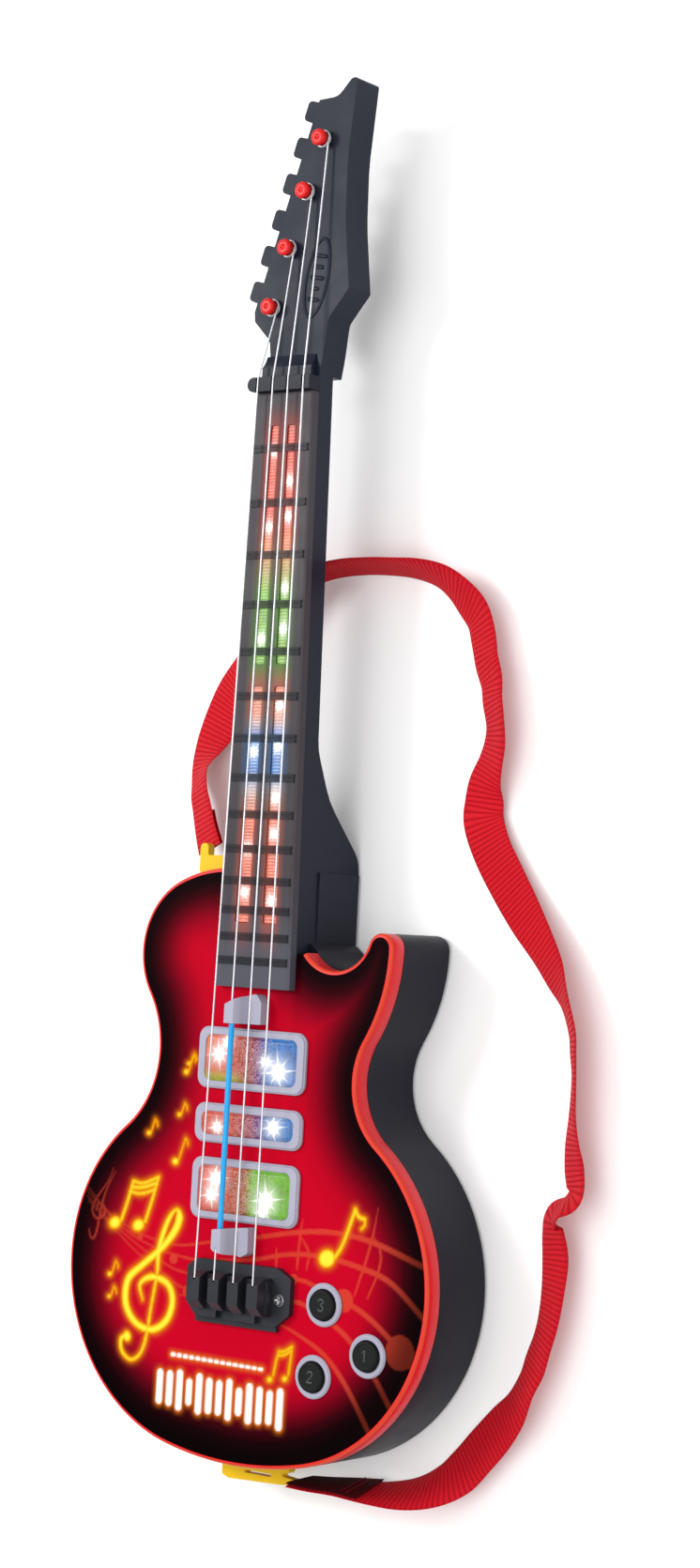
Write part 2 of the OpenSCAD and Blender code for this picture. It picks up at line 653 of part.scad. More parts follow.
module neck_back() {
    color(CHARCOAL)
    difference() {
        union() {
            intersection() {
                across(HEEL_CURVE, 60);
                linear_extrude(60) neck_plan(POCKET_Y + 0.6, 352);
            }
            // Raised panel on each side of the heel
            translate([-18.25, 131.5, HEEL_BACK + 0.6]) cube([36.5, 26.5, 26]);
            translate([0, 0, HEAD_BACK]) linear_extrude(HEAD_SEAM - HEAD_BACK) intersection() {
                head_area();
                translate([-40, 352]) square([80, 130]);
            }
            // Tongue that runs into the body
            translate([-12, 96, TONGUE_Z]) cube([24, POCKET_Y - 94, TONGUE_T]);
            tuner_bumps(HEAD_BACK + 3, HEAD_SEAM);
        }
        across(HEEL_HOLLOW, 31);
        // Hollow of the headstock
        translate([0, 0, HEAD_BACK + 2.2]) linear_extrude(20) polygon(rounded(HEAD_HOLLOW));
        for (s = TONGUE_SCREWS) translate([s[0], s[1], 15]) cylinder(r = 1.5, h = 12);
        for (s = NECK_SCREWS) translate([s[0], s[1], 20]) {
            cylinder(r = 1.2, h = 20);
            cylinder(r = 2.4, h = screw_face(s) - 20 + 1.4);
        }
        translate([-20, 344, HEAD_SEAM]) cube([40, 20, 10]);
    }
}

module neck_front() {
    color(CHARCOAL)
    difference() {
        union() {
            translate([0, 0, neck_seam]) linear_extrude(FACE - neck_seam)
                neck_plan(POCKET_Y + 0.6, 344.01);
            translate([0, 0, HEAD_SEAM]) linear_extrude(HEAD_TOP - HEAD_SEAM) head_area();
            // Cove that rises from the headstock's face to the nut
            difference() {
                translate([-12, 351, HEAD_TOP - 1]) cube([24, 9, 4.2]);
                translate([-20, 362.5, HEAD_TOP + 10]) rotate([0, 90, 0]) cylinder(r = 10, h = 40);
            }
            tuner_bumps(HEAD_SEAM, HEAD_TOP - 1.8);
        }
        // Channel for the row of lamps
        translate([-9, 126, neck_seam - 1]) cube([18, 212, FACE - neck_seam + 2]);
        translate([0, 0, HEAD_SEAM - 1]) linear_extrude(HEAD_TOP - HEAD_SEAM - 1.4)
            polygon(rounded(HEAD_HOLLOW));
        for (p = POSTS) translate([p[0], p[1], HEAD_TOP - 5]) cylinder(r = POST_SHAFT + 0.06, h = 8);
        for (i = [0:HEAD_SCREW_1 - 1]) translate([NECK_SCREWS[i][0], NECK_SCREWS[i][1], HEAD_SEAM])
            cylinder(r = 1, h = 6.2);
        // Seat of the nut
        translate([-20, 343.9, FACE]) cube([40, 7.1, 6]);
    }
    // Pillars that take the neck's screws
    color(CHARCOAL) for (i = [HEAD_SCREW_1:len(NECK_SCREWS) - 1])
        translate([NECK_SCREWS[i][0], NECK_SCREWS[i][1], HEAD_BACK + 2.2])
        difference() {
            cylinder(r = 2.6, h = HEAD_TOP - HEAD_BACK - 4.2);
            translate([0, 0, -1]) cylinder(r = 1, h = 9);
        }
}

// Slots for the two rows of neck lamps. They widen towards the body.
function slot_x(y) = 4 + (332 - y) / 195 * 2.8;
function slot_half(y) = 1.9 + (332 - y) / 195 * 1.4;
SLOT_GROUPS = [[238, 332], [137, 229.5]];

module slot_area(y0, y1, d = 0) {
    for (s = [-1, 1]) polygon(rounded([
        [s * (slot_x(y1) + slot_half(y1) - d), y1 - d, 1],
            [s * (slot_x(y1) - slot_half(y1) + d), y1 - d, 1],
        [s * (slot_x(y0) - slot_half(y0) + d), y0 + d, 1],
            [s * (slot_x(y0) + slot_half(y0) - d), y0 + d, 1]]));
}

FRETS = 14;
function fret_y(n) = 323 - 21.5 * n + 0.505 * n * (n - 1);

module fretboard() {
    color("#3c3a40")
    difference() {
        union() {
            translate([0, 0, FACE]) linear_extrude(board_t) neck_plan(board_y0, board_y1);
            for (n = [0:FRETS - 1]) {
                y = fret_y(n);
                w = half_width(y);
                translate([-w + 0.1, y - 1.5, BOARD_TOP - 0.2]) cube([2 * w - 1.6, 3, 0.8]);
            }
        }
        for (g = SLOT_GROUPS) translate([0, 0, FACE - 1]) linear_extrude(board_t + 1 + EPS)
            slot_area(g[0], g[1]);
        for (n = [0:FRETS - 1]) translate([-20, fret_y(n) - 0.4, BOARD_TOP + 0.3]) cube([40, 0.8, 1]);
    }
}

module fret_lens(g) {
    color("#ff9060")
    translate([0, 0, FACE + 0.2]) linear_extrude(board_t - 0.6) slot_area(g[0], g[1], 0.05);
}

LED_Y = [for (i = [0:8]) 145 + 22.5 * i];

module neck_led_board() {
    color(BOARD_GREEN) translate([-8, 128, neck_seam]) cube([16, 208, 1]);
}

module neck_leds() {
    color("white")
    for (y = LED_Y, s = [-1, 1]) translate([s * slot_x(y), y, neck_seam + 1]) led(1.2, 3);
}

module nut() {
    color(BLACK)
    difference() {
        translate([-16.2, 345.1, FACE]) cube([30.6, 5.8, NUT_TOP - FACE]);
        translate([-16.2, 348, 0]) difference() {
            translate([-1, -5, FACE - 1]) cube([3.9, 10, 10]);
            translate([2.9, 0, FACE - 2]) cylinder(r = 2.9, h = 12);
        }
        for (i = [0:3]) translate([string_x(i, 0) - 0.7, 344, STRING_NUT_Z - string_d / 2])
            cube([1.4, 8, 3]);
        // The overhang clears the neck's side
        translate([-18, 344, FACE - 1]) cube([18 - half_width(345), 8, 1.8]);
    }
}

// ---- strings and posts ---------------------------------------------------
// Posts in string order, from the lowest one
POSTS = [[-10.1, 379.3], [-3.5, 402.3], [3.8, 424.3], [10.4, 444.6]];
POST_SHAFT = 2;
NUT_Y = 350.4;
BRIDGE_Y = -1;

// Place across the neck of string i: end 0 is the nut, end 1 the bridge
function string_x(i, end) = (i - 1.5) * (end == 0 ? nut_gap : bridge_gap);
function string_at(i, y) = let (t = (NUT_Y - y) / NUT_Y)
    [string_x(i, 0) + (string_x(i, 1) - string_x(i, 0)) * t, y,
        STRING_NUT_Z + (STRING_BRIDGE_Z - STRING_NUT_Z) * t];

module string_post(i) {
    color("#d8141e")
    translate([POSTS[i][0], POSTS[i][1], HEAD_TOP]) {
        translate([0, 0, -4]) cylinder(r = POST_SHAFT, h = 6);
        translate([0, 0, -3.8]) cylinder(r = 2.7, h = 1);
        translate([0, 0, 0.3]) cylinder(r = 2.5, h = 3.2);
        difference() {
            union() {
                translate([0, 0, 3.4]) cylinder(r = 3.3, h = 1.7);
                translate([0, 0, 5.1 - EPS]) cylinder(r1 = 3.3, r2 = 2.6, h = 0.7);
            }
            translate([0, 0, 5.2]) cylinder(r = 0.7, h = 2);
        }
    }
}

// String wound round a post and the run down to the nut and bridge
module string_run(i, stretches) {
    r = string_d / 2;
    turn_z = HEAD_TOP + 2;
    start = [POSTS[i][0] + 3.25, POSTS[i][1], turn_z - 0.4];
    knee = string_at(i, NUT_Y);
    color("#dfe3e8") {
        translate([POSTS[i][0], POSTS[i][1], turn_z - 1.5]) tube(3.7, 2.8, 2.1);
        rod(start, knee, r);
        translate(knee) sphere(r = r + 0.02, $fn = 16);
        for (s = stretches) rod(string_at(i, s[0]), string_at(i, s[1]), r);
    }
}

// ---- bridge --------------------------------------------------------------
BRIDGE_TOP = FACE + 2.6;

module bridge_base() {
    color(BLACK)
    difference() {
        union() {
            translate([0, 0, FACE]) linear_extrude(2.6)
                polygon(rounded([[19.5, 5.6, 1.5], [-19.5, 5.6, 1.5],
                [-24.8, 2.4, 1.5], [-24.8, -11.2, 1.5], [-19.5, -16.8, 1.5], [19.5, -16.8, 1.5],
                    [26, -11.6, 1.5],
                [26, 2.2, 1.5]]));
            translate([-20.2, -18.8, FACE]) cube([39.8, 2.2, 1.8]);
        }
        for (s = [-1, 1]) translate([s * 20.7, -6.4, FACE - 1]) {
            cylinder(r = 1.2, h = 5);
            translate([0, 0, 2.2]) cylinder(r = 2.5, h = 3);
        }
    }
}

// One saddle in side view: a ramp, a flat top and a long slope to the tail
SADDLE_SIDE = [[1.6, BRIDGE_TOP], [1.4, 47.5], [-0.8, 51.3], [-9.5, 51.3], [-12.8, 47.5],
    [-13.2, BRIDGE_TOP]];

module bridge_saddles() {
    color(BLACK)
    difference() {
        union() {
            translate([-17.4, -12.4, BRIDGE_TOP]) cube([34.8, 13, 3.4]);
            for (i = [0:3]) translate([string_x(i, 1), 0, 0]) across(SADDLE_SIDE, 5.2);
            for (x = [-18, 1]) translate([x, -16.2, BRIDGE_TOP]) cube([10.5, 4.2, 2.6]);
        }
        for (i = [0:3]) translate([string_x(i, 1) - 0.6, -1.6, STRING_BRIDGE_Z - string_d / 2 - 0.05])
            cube([1.2, 4, 3]);
    }
}

module bridge_screws() {
    color(STEEL)
    for (s = [-1, 1]) translate([s * 20.7, -6.4, 0])
        difference() {
            union() {
                translate([0, 0, BRIDGE_TOP - 1.4]) cylinder(r = 2.4, h = 1.6);
                translate([0, 0, FACE - 4.4]) cylinder(r = 1.2, h = 6);
            }
            for (a = [0, 90]) rotate(a) translate([-1.5, -0.3, BRIDGE_TOP - 0.5]) cube([3, 0.6, 2]);
        }
}

// ---- sensor pair ---------------------------------------------------------
// String 2 stops in the two housings, where a light rod takes its place
STRING_2_GAP = [11.5, 104];
ROD_X = -4.68;
ROD_Z = 48.9;
ROD_R = 1.1;
ROD_Y = [16.5, 99.5];
HUMP_TOP = 51.2;

// Low body over the whole outline with a hump on its left part
module sensor_housing(outline, y0, y1) {
    color(GREY)
    difference() {
        union() {
            translate([0, 0, FACE]) linear_extrude(5.2) polygon(rounded(outline));
            intersection() {
                translate([0, 0, FACE + 5]) linear_extrude(HUMP_TOP - FACE - 5) polygon(rounded(outline));
                rotate([90, 0, 0]) translate([0, 0, -y1]) linear_extrude(y1 - y0)
                    polygon([[-9.8, 44], [-8.6, 49], [-7, HUMP_TOP], [-2.6, HUMP_TOP], [-0.8, 49],
                        [0.6, 44]]);
            }
        }
        translate([ROD_X, ROD_Y[0], ROD_Z]) rotate([-90, 0, 0])
            cylinder(r = ROD_R, h = ROD_Y[1] - ROD_Y[0], $fn = 24);
        rod(string_at(1, STRING_2_GAP[1]), string_at(1, STRING_2_GAP[1] + 10), string_d / 2);
        rod(string_at(1, STRING_2_GAP[0]), string_at(1, STRING_2_GAP[0] - 10), string_d / 2);
    }
}

UPPER_OUTLINE = [[-9.6, 98, 0.8], [-9.6, 101.8, 2], [-7.6, 105, 2], [1, 109.3, 1.2], [3.8, 109.8, 1.8],
    [6.3, 106.6, 2], [6.3, 98, 0.6]];
LOWER_OUTLINE = [[-9.6, 17.4, 1], [-6.4, 18.4, 1.2], [6, 19.9, 0.8], [6.3, 10, 1.4], [3, 8.3, 1.2],
    [-6, 10, 2], [-9.4, 13.4, 2]];

module sensor_housing_upper() { sensor_housing(UPPER_OUTLINE, 97, 111); }
module sensor_housing_lower() { sensor_housing(LOWER_OUTLINE, 7, 21); }

module light_rod() {
    color("#28b8e8")
    translate([ROD_X, ROD_Y[0], ROD_Z]) rotate([-90, 0, 0])
        cylinder(r = ROD_R, h = ROD_Y[1] - ROD_Y[0], $fn = 24);
}

// ---- screws --------------------------------------------------------------
module pan_screw(head_r, head_h, r, length) {
    difference() {
        union() {
            cylinder(r = head_r, h = head_h, $fn = 24);
            cylinder(r = r, h = length, $fn = 24);
        }
        for (a = [0, 90]) rotate(a) translate([-head_r * 0.6, -0.3, -1]) cube([head_r * 1.2, 0.6, 1.7]);
    }
}

module body_screws() {
    head_z = SCREW_SEAT - 2.5;
    color(STEEL) for (s = SCREWS)
        translate([s[0], s[1], head_z]) pan_screw(2.8, 2.4, 1.3, SEAM + 4.4 - head_z);
}

module neck_screws() {
    color(STEEL)
    for (s = NECK_SCREWS) {
        z = screw_face(s) + 0.3;
        translate([s[0], s[1], z]) pan_screw(2.2, 1.1, 1, (s[1] < 350 ? 38 : 36) - z);
    }
}

module heel_screws() {
    color(STEEL) for (s = TONGUE_SCREWS) translate([s[0], s[1], TONGUE_Z + TONGUE_T + 2])
        mirror([0, 0, 1]) pan_screw(2.6, 2, 1.4, 14);
}

// ---- strap and its clips -------------------------------------------------
module strap_clip_upper() {
    color(YELLOW)
    translate([0, 0, CLIP_Z]) linear_extrude(CLIP_T)
        polygon(rounded([[-46.9, 168.2, 2], [-42.7, 168.2, 2],
        [-42.7, 163.4, 0.6], [-24, 163.6, 1], [-24, 158.8, 0.6], [-28, 158.6, 0.3], [-28, 148, 0.6],
        [-38, 148, 0.6], [-38, 157.2, 0.3], [-45.8, 155.6, 1.2], [-46.9, 157, 0.8]]));
}

module strap_clip_lower() {
    color(YELLOW)
    translate([0, 0, CLIP_Z]) linear_extrude(CLIP_T) difference() {
        polygon(rounded([[-17.8, -73.2, 1.2], [-6, -73.2, 0.2], [-6, -66, 0.6], [6, -66, 0.6],
            [6, -73.2, 0.2],
            [15.6, -73.2, 1], [14.6, -75.2, 0.4], [11.6, -75.8, 0.4], [11.6, -76.8, 0.3],
                [17.6, -77.4, 1],
            [18.6, -79.4, 1.1], [10, -80.2, 2], [-14.6, -81.2, 3], [-18.2, -80, 1.6]]));
        translate([-6.8, -77.9]) square([13, 1.1]);
    }
}

// Route of the webbing: [x, y, roll, lift]. Roll turns the outer edge up from flat;
// lift is how far its lower edge is off the ground.
STRAP_ROUTE = [[19.4, -78.4, 88, 10], [28, -78.4, 84, 8], [38, -78.2, 80, 5], [50, -78.4, 72, 2],
    [63, -77, 58, 0],
    [75, -72.6, 40, 0], [84, -66, 24, 0], [92, -57, 22, 0], [100, -48, 24, 0], [107, -40, 33, 0],
        [112, -30, 40, 0],
    [115, -22, 36, 0], [118, -13, 38, 0], [120, -4, 36, 0], [121, 7, 33, 0], [121, 18, 29, 0],
        [120, 27, 33, 0],
    [120, 33, 42, 0], [125, 38, 60, 0], [129, 43, 42, 0], [128, 52, 37, 0], [127, 61, 43, 0],
        [127, 72, 52, 0],
    [127, 86, 55, 0], [126, 95, 53, 0], [125, 103, 52, 0], [121, 114, 50, 0], [115, 124, 36, 0],
        [108, 134, 28, 0],
    [98, 146, 17, 0], [89, 158, 12, 0], [81, 170, 10, 0], [76, 181, 6, 0], [76, 188, 8, 0],
        [77, 195, 16, 0],
    [80, 203, 28, 0], [82, 211, 33, 0], [82, 219, 37, 0], [80, 228, 35, 0], [79, 235, 33, 0],
        [76, 243, 31, 0],
    [74, 251, 29, 0], [71, 260, 31, 0], [65, 267, 36, 0], [58, 273, 47, 0], [49, 277, 62, 0],
        [38, 279, 72, 0],
    [26, 280, 76, 0], [12, 280, 79, 0], [-2, 278, 84, 0], [-14, 273, 94, 0], [-26, 264, 112, 0],
        [-36, 252, 132, 0],
    [-44, 240, 150, 0], [-51, 229, 166, 0], [-56, 218, 172, 0], [-59, 208, 162, 1], [-59, 199, 150, 4],
    [-56, 190, 148, 8], [-54, 182, 150, 8], [-52, 174, 152, 8], [-49.5, 166, 155, 8]];

// Level direction of the route at point i
function strap_dir(i) = let
    (a = STRAP_ROUTE[max(0, i - 1)], b = STRAP_ROUTE[min(len(STRAP_ROUTE) - 1, i + 1)])
    unit([b[0] - a[0], b[1] - a[1], 0]);

function strap_ring(i) =
    let (p = STRAP_ROUTE[i], t = strap_dir(i), n = [-t[1], t[0], 0],
        w = n * cos(p[2]) - [0, 0, sin(p[2])], up = cross(t, w),
        c = [p[0], p[1], p[3] + strap_w / 2 * abs(sin(p[2])) + strap_t / 2 * abs(cos(p[2])) + 0.1],
        e = w * strap_w / 2, h = up * strap_t / 2)
    [c - e - h, c + e - h, c + e + h, c - e + h];

module strap() {
    color("#dc1822") strip([for (i = [0:len(STRAP_ROUTE) - 1]) strap_ring(i)]);
}

// ---- assembly ------------------------------------------------------------
back_shell();
front_shell();
face_print();
pickup_frame(0);  // pickup_frame_1
pickup_frame(1);  // pickup_frame_2
pickup_frame(2);  // pickup_frame_3
light_lens(0);  // light_lens_1
light_lens(1);  // light_lens_2
light_lens(2);  // light_lens_3
button_ring(0);  // button_ring_1
button_ring(1);  // button_ring_2
button_ring(2);  // button_ring_3
button(0);  // button_1
button(1);  // button_2
button(2);  // button_3
button_dome(0);  // button_dome_1
button_dome(1);  // button_dome_2
button_dome(2);  // button_dome_3
control_board();
light_board();
pickup_leds();
speaker_frame();
speaker_cone();
speaker_magnet();
batteries();
battery_springs();
battery_plates();
battery_door();
door_screw();
switch_body();
switch_knob();
neck_back();
neck_front();
fretboard();
fret_lens(SLOT_GROUPS[0]);  // fret_lens_upper
fret_lens(SLOT_GROUPS[1]);  // fret_lens_lower
neck_led_board();
neck_leds();
nut();
string_post(0);  // string_post_1
string_post(1);  // string_post_2
string_post(2);  // string_post_3
string_post(3);  // string_post_4
string_run(0, [[NUT_Y, BRIDGE_Y]]);  // string_1
string_run(1, [[NUT_Y, STRING_2_GAP[1]], [STRING_2_GAP[0], BRIDGE_Y]]);  // string_2
string_run(2, [[NUT_Y, BRIDGE_Y]]);  // string_3
string_run(3, [[NUT_Y, BRIDGE_Y]]);  // string_4
bridge_base();
bridge_saddles();
bridge_screws();
sensor_housing_upper();
sensor_housing_lower();
light_rod();
body_screws();
neck_screws();
heel_screws();
strap_clip_upper();
strap_clip_lower();
strap();
board_screws();
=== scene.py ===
import json
import logging
import math
from dataclasses import dataclass
from enum import Enum
from typing import Iterable, Optional, Sequence

import bmesh
import bpy
import numpy as np
from mathutils import Matrix, Vector

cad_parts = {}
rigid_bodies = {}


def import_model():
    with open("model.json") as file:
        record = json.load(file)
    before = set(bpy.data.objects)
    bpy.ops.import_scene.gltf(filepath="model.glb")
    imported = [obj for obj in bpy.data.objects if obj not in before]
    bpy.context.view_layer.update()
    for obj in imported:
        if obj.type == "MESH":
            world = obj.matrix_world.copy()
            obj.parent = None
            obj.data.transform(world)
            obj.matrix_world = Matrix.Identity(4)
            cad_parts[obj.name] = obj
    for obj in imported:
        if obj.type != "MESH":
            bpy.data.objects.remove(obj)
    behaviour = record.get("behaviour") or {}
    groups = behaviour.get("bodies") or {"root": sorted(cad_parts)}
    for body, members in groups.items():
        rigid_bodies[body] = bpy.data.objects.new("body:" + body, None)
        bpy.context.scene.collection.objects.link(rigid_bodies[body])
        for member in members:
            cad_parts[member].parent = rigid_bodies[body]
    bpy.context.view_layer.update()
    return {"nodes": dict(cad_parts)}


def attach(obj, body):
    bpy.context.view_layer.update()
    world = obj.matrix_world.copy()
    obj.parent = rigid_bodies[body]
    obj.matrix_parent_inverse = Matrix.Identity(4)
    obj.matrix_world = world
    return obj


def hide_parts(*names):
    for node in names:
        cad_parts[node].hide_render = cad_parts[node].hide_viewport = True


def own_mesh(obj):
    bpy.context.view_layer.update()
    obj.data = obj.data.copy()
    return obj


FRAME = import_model()

LOG = logging.getLogger("guitar")
MM = 0.001
Array = np.ndarray
Colour = tuple[float, float, float]

# Points handled at once where every point is measured against every segment
CHUNK = 4000
# Corners closer than this, in metres, are one corner, and faces within this many degrees are one face
WELD = 2e-6
LEVEL_DEGREES = 0.4
# A skin with its faces joined keeps its area to this share; a bevelled one keeps volume and area in bounds
SAME_AREA = 0.002
VOLUME_DRIFT = 0.05
AREA_RANGE = (0.8, 1.01)
BEVEL_DEGREES = 34.0
# How strongly the mottle shifts a finish's colour, and a distance larger than any on the face, in millimetres
MOTTLE_SWING = 2.2
FAR = 99.0
# Middles of the three buttons, x and y in millimetres
BUTTONS = ((40.8, -5.9), (62.3, -22.6), (37.5, -33.5))


# ---------------------------------------------------------------- meshes
def signed_volume(points: Array, faces: Sequence[Array]) -> float:
    """Volume inside closed faces: each face's fan of triangles spans boxes from the origin; their sum over 6.

    Args:
        points: vertex places, one row each.
        faces: arrays of vertex numbers, one row per face, each array with its own corner count.

    Returns:
        The volume, negative when the faces point inwards.
    """
    total = 0.0
    for block in faces:
        for k in range(1, block.shape[1] - 1):
            a, b, c = points[block[:, 0]], points[block[:, k]], points[block[:, k + 1]]
            total += float(np.einsum("ij,ij->", a, np.cross(b, c)))
    return total / 6


def surface(name: str, points: Array, faces: Sequence[Array], smooth: float = 40.0,
            uv: Optional[Array] = None, fields: Optional[dict[str, Array]] = None) -> bpy.types.Object:
    """Puts whole arrays of points and faces into a mesh object, turned outwards.

    Args:
        name: piece name.
        points: vertex places in millimetres.
        faces: blocks of faces, each an array with one row of vertex numbers per face.
        smooth: edges sharper than this many degrees stay crisp.
        uv: a pair of numbers per vertex for the UV map.
        fields: named values per vertex, floats or colours.

    Returns:
        The new object.
    """
    blocks = [np.asarray(b, np.int32) for b in faces if len(b)]
    if signed_volume(points, blocks) < 0:
        blocks = [b[:, ::-1] for b in blocks]
    mesh = bpy.data.meshes.new(name)
    mesh.vertices.add(len(points))
    mesh.vertices.foreach_set("co", (np.asarray(points, float) * MM).astype(np.float32).ravel())
    corners = np.concatenate([b.ravel() for b in blocks])
    sizes = np.concatenate([np.full(len(b), b.shape[1], np.int32) for b in blocks])
    mesh.loops.add(len(corners))
    mesh.loops.foreach_set("vertex_index", corners)
    mesh.polygons.add(len(sizes))
    mesh.polygons.foreach_set("loop_start", np.concatenate([[0], np.cumsum(sizes)[:-1]]).astype(np.int32))
    if uv is not None:
        mesh.uv_layers.new(name="UVMap").data.foreach_set("uv", np.asarray(uv, np.float32)[corners].ravel())
    for key, values in (fields or {}).items():
        if values.ndim == 1:
            mesh.attributes.new(key, "FLOAT", "POINT").data.foreach_set("value", values.astype(np.float32))
        else:
            rgba = np.concatenate([values, np.ones((len(values), 1))], 1).astype(np.float32)
            mesh.attributes.new(key, "FLOAT_COLOR", "POINT").data.foreach_set("color", rgba.ravel())
    mesh.update(calc_edges=True)
    mesh.validate()
    obj = bpy.data.objects.new(name, mesh)
    bpy.context.scene.collection.objects.link(obj)
    shade(obj, smooth)
    return obj


def shade(obj: bpy.types.Object, angle: float) -> None:
    """Shades a mesh smooth, with edges sharper than angle degrees left crisp."""
    mesh = obj.data
    mesh.polygons.foreach_set("use_smooth", np.ones(len(mesh.polygons), bool))
    mesh.set_sharp_from_angle(angle=math.radians(angle))


def grid_faces(rows: int, cols: int, ring: bool = False, start: int = 0, loop: bool = False) -> Array:
    """Quads of a grid of rows by cols vertices; ring joins the last column to the first."""
    r = np.arange(rows if loop else rows - 1)[:, None]
    c = np.arange(cols if ring else cols - 1)[None, :]
    r2, c2 = (r + 1) % rows, (c + 1) % cols
    return start + np.stack(np.broadcast_arrays(r * cols + c, r * cols + c2, r2 * cols + c2, r2 * cols + c),
                            -1).reshape(-1, 4)


def tube_faces(rows: int, cols: int, start: int = 0) -> list[Array]:
    """Faces of a tube of rows rings of cols points: its sides and a flat face at both ends."""
    ends = np.stack([np.arange(cols)[::-1], (rows - 1) * cols + np.arange(cols)])
    return [grid_faces(rows, cols, ring=True, start=start), start + ends]


def slab_faces(rows: int, cols: int, start: int = 0) -> list[Array]:
    """Faces of a grid over a second grid: the upper quads, the lower ones turned over and the walls."""
    around = np.concatenate([np.arange(cols), np.arange(1, rows) * cols + cols - 1,
                             (rows - 1) * cols + np.arange(cols - 2, -1, -1),
                             np.arange(rows - 2, 0, -1) * cols])
    after, n, quads = np.roll(around, -1), rows * cols, grid_faces(rows, cols)
    walls = np.stack([around, after, after + n, around + n], 1)[:, ::-1]
    return [start + block for block in (quads, quads[:, ::-1] + n, walls)]


def tubes(name: str, rings: Iterable[Array], smooth: float) -> bpy.types.Object:
    """Several closed tubes as one piece, each an array (stations, points per ring, 3) in millimetres."""
    points, faces, base = [], [], 0
    for ring in rings:
        points.append(ring.reshape(-1, 3))
        faces += tube_faces(*ring.shape[:2], base)
        base += len(points[-1])
    return surface(name, np.concatenate(points), faces, smooth)


def sweep(name: str, rings: Array, smooth: float = 40.0, uv: Optional[Array] = None,
          fields: Optional[dict[str, Array]] = None) -> bpy.types.Object:
    """A closed skin over a row of rings, each the same number of points, with a flat face at both ends.

    Args:
        name: piece name.
        rings: array (stations, points per ring, 3) in millimetres.
        smooth: crease angle in degrees.
        uv: a pair of numbers per point, same order as rings.
        fields: named values per point.

    Returns:
        The new object.
    """
    return surface(name, rings.reshape(-1, 3), tube_faces(*rings.shape[:2]), smooth, uv, fields)


def tube_rings(path: Array, radius: Array | float, sides: int = 12, up: Sequence[float] = (0, 0, 1),
               flat: float = 1.0) -> Array:
    """Rings of a tube: at each point p + r cos(a) side + r flat sin(a) top, both square to the path.

    Args:
        path: centre line, (n, 3).
        radius: one radius or one per point.
        sides: points round the tube.
        up: direction that the tube's top leans to.
        flat: height of the section as a share of its width.

    Returns:
        Array (n, sides, 3).
    """
    along = np.gradient(path, axis=0)
    along /= np.linalg.norm(along, axis=1, keepdims=True)
    side = np.cross(along, np.asarray(up, float))
    side /= np.linalg.norm(side, axis=1, keepdims=True)
    top = np.cross(side, along)
    a = np.linspace(0, 2 * np.pi, sides, endpoint=False)
    r = np.broadcast_to(np.asarray(radius, float), (len(path),))[:, None, None]
    return path[:, None] + r * (np.cos(a)[None, :, None] * side[:, None] + flat * np.sin(a)[None, :, None]
                                * top[:, None])


def lathe(name: str, profile: Array, centre: Sequence[float], sides: int = 40,
          smooth: float = 40.0) -> bpy.types.Object:
    """A turned shape: its profile (radius, height) goes round a vertical line, on which its ends lie."""
    a = np.linspace(0, 2 * np.pi, sides, endpoint=False)
    r, z = profile[1:-1, 0], profile[1:-1, 1]
    rings = np.stack([r[:, None] * np.cos(a), r[:, None] * np.sin(a),
                      np.broadcast_to(z[:, None], (len(r), sides))], -1)
    poles = np.array([[0, 0, profile[0, 1]], [0, 0, profile[-1, 1]]], float)
    points = np.concatenate([rings.reshape(-1, 3), poles]) + np.asarray(centre, float)
    k, n = np.arange(sides), rings.shape[0]
    first = np.stack([np.full(sides, n * sides), (k + 1) % sides, k], -1)
    last = np.stack([np.full(sides, n * sides + 1), (n - 1) * sides + k, (n - 1) * sides + (k + 1) % sides],
                    -1)
    return surface(name, points, [grid_faces(n, sides, ring=True), first, last], smooth)


def smooth_path(points: Array, count: int) -> Array:
    """A curve through the points: cubics whose slope at a point is half the step between its neighbours.

    Args:
        points: (n, k) values to pass through.
        count: points wanted.

    Returns:
        (count, k) points, evenly spread over the stretches.
    """
    p = np.asarray(points, float)
    t = np.linspace(0, len(p) - 1, count)
    i = np.minimum(t.astype(int), len(p) - 2)
    f = (t - i)[:, None]
    slope = np.gradient(p, axis=0)
    h = p[i] * (2 * f**3 - 3 * f**2 + 1) + p[i + 1] * (3 * f**2 - 2 * f**3)
    return h + slope[i] * (f**3 - 2 * f**2 + f) + slope[i + 1] * (f**3 - f**2)


def nearest_on(points: Array, path: Array, closed: bool = False) -> tuple[Array, Array, Array]:
    """Distance from each point to a polyline, the nearest place on it and the share of its length there.

    For each segment a to b the place is a + clip((p - a).(b - a) / |b - a|^2, 0, 1) (b - a).

    Args:
        points: (n, 2).
        path: (m, 2).
        closed: joins the last point to the first.

    Returns:
        Distances, places and shares.
    """
    a = path if closed else path[:-1]
    b = np.roll(path, -1, 0) if closed else path[1:]
    d = b - a
    length = np.maximum((d**2).sum(1), 1e-9)
    dist, place, share = np.empty(len(points)), np.empty((len(points), 2)), np.empty(len(points))
    for s in range(0, len(points), CHUNK):
        p = points[s:s + CHUNK, None]
        t = np.clip(((p - a) * d).sum(-1) / length, 0, 1)
        q = a + t[..., None] * d
        e = ((p - q) ** 2).sum(-1)
        k = e.argmin(1)
        row = np.arange(len(k))
        part = slice(s, s + CHUNK)
        dist[part], place[part], share[part] = np.sqrt(e[row, k]), q[row, k], (k + t[row, k]) / len(a)
    return dist, place, share


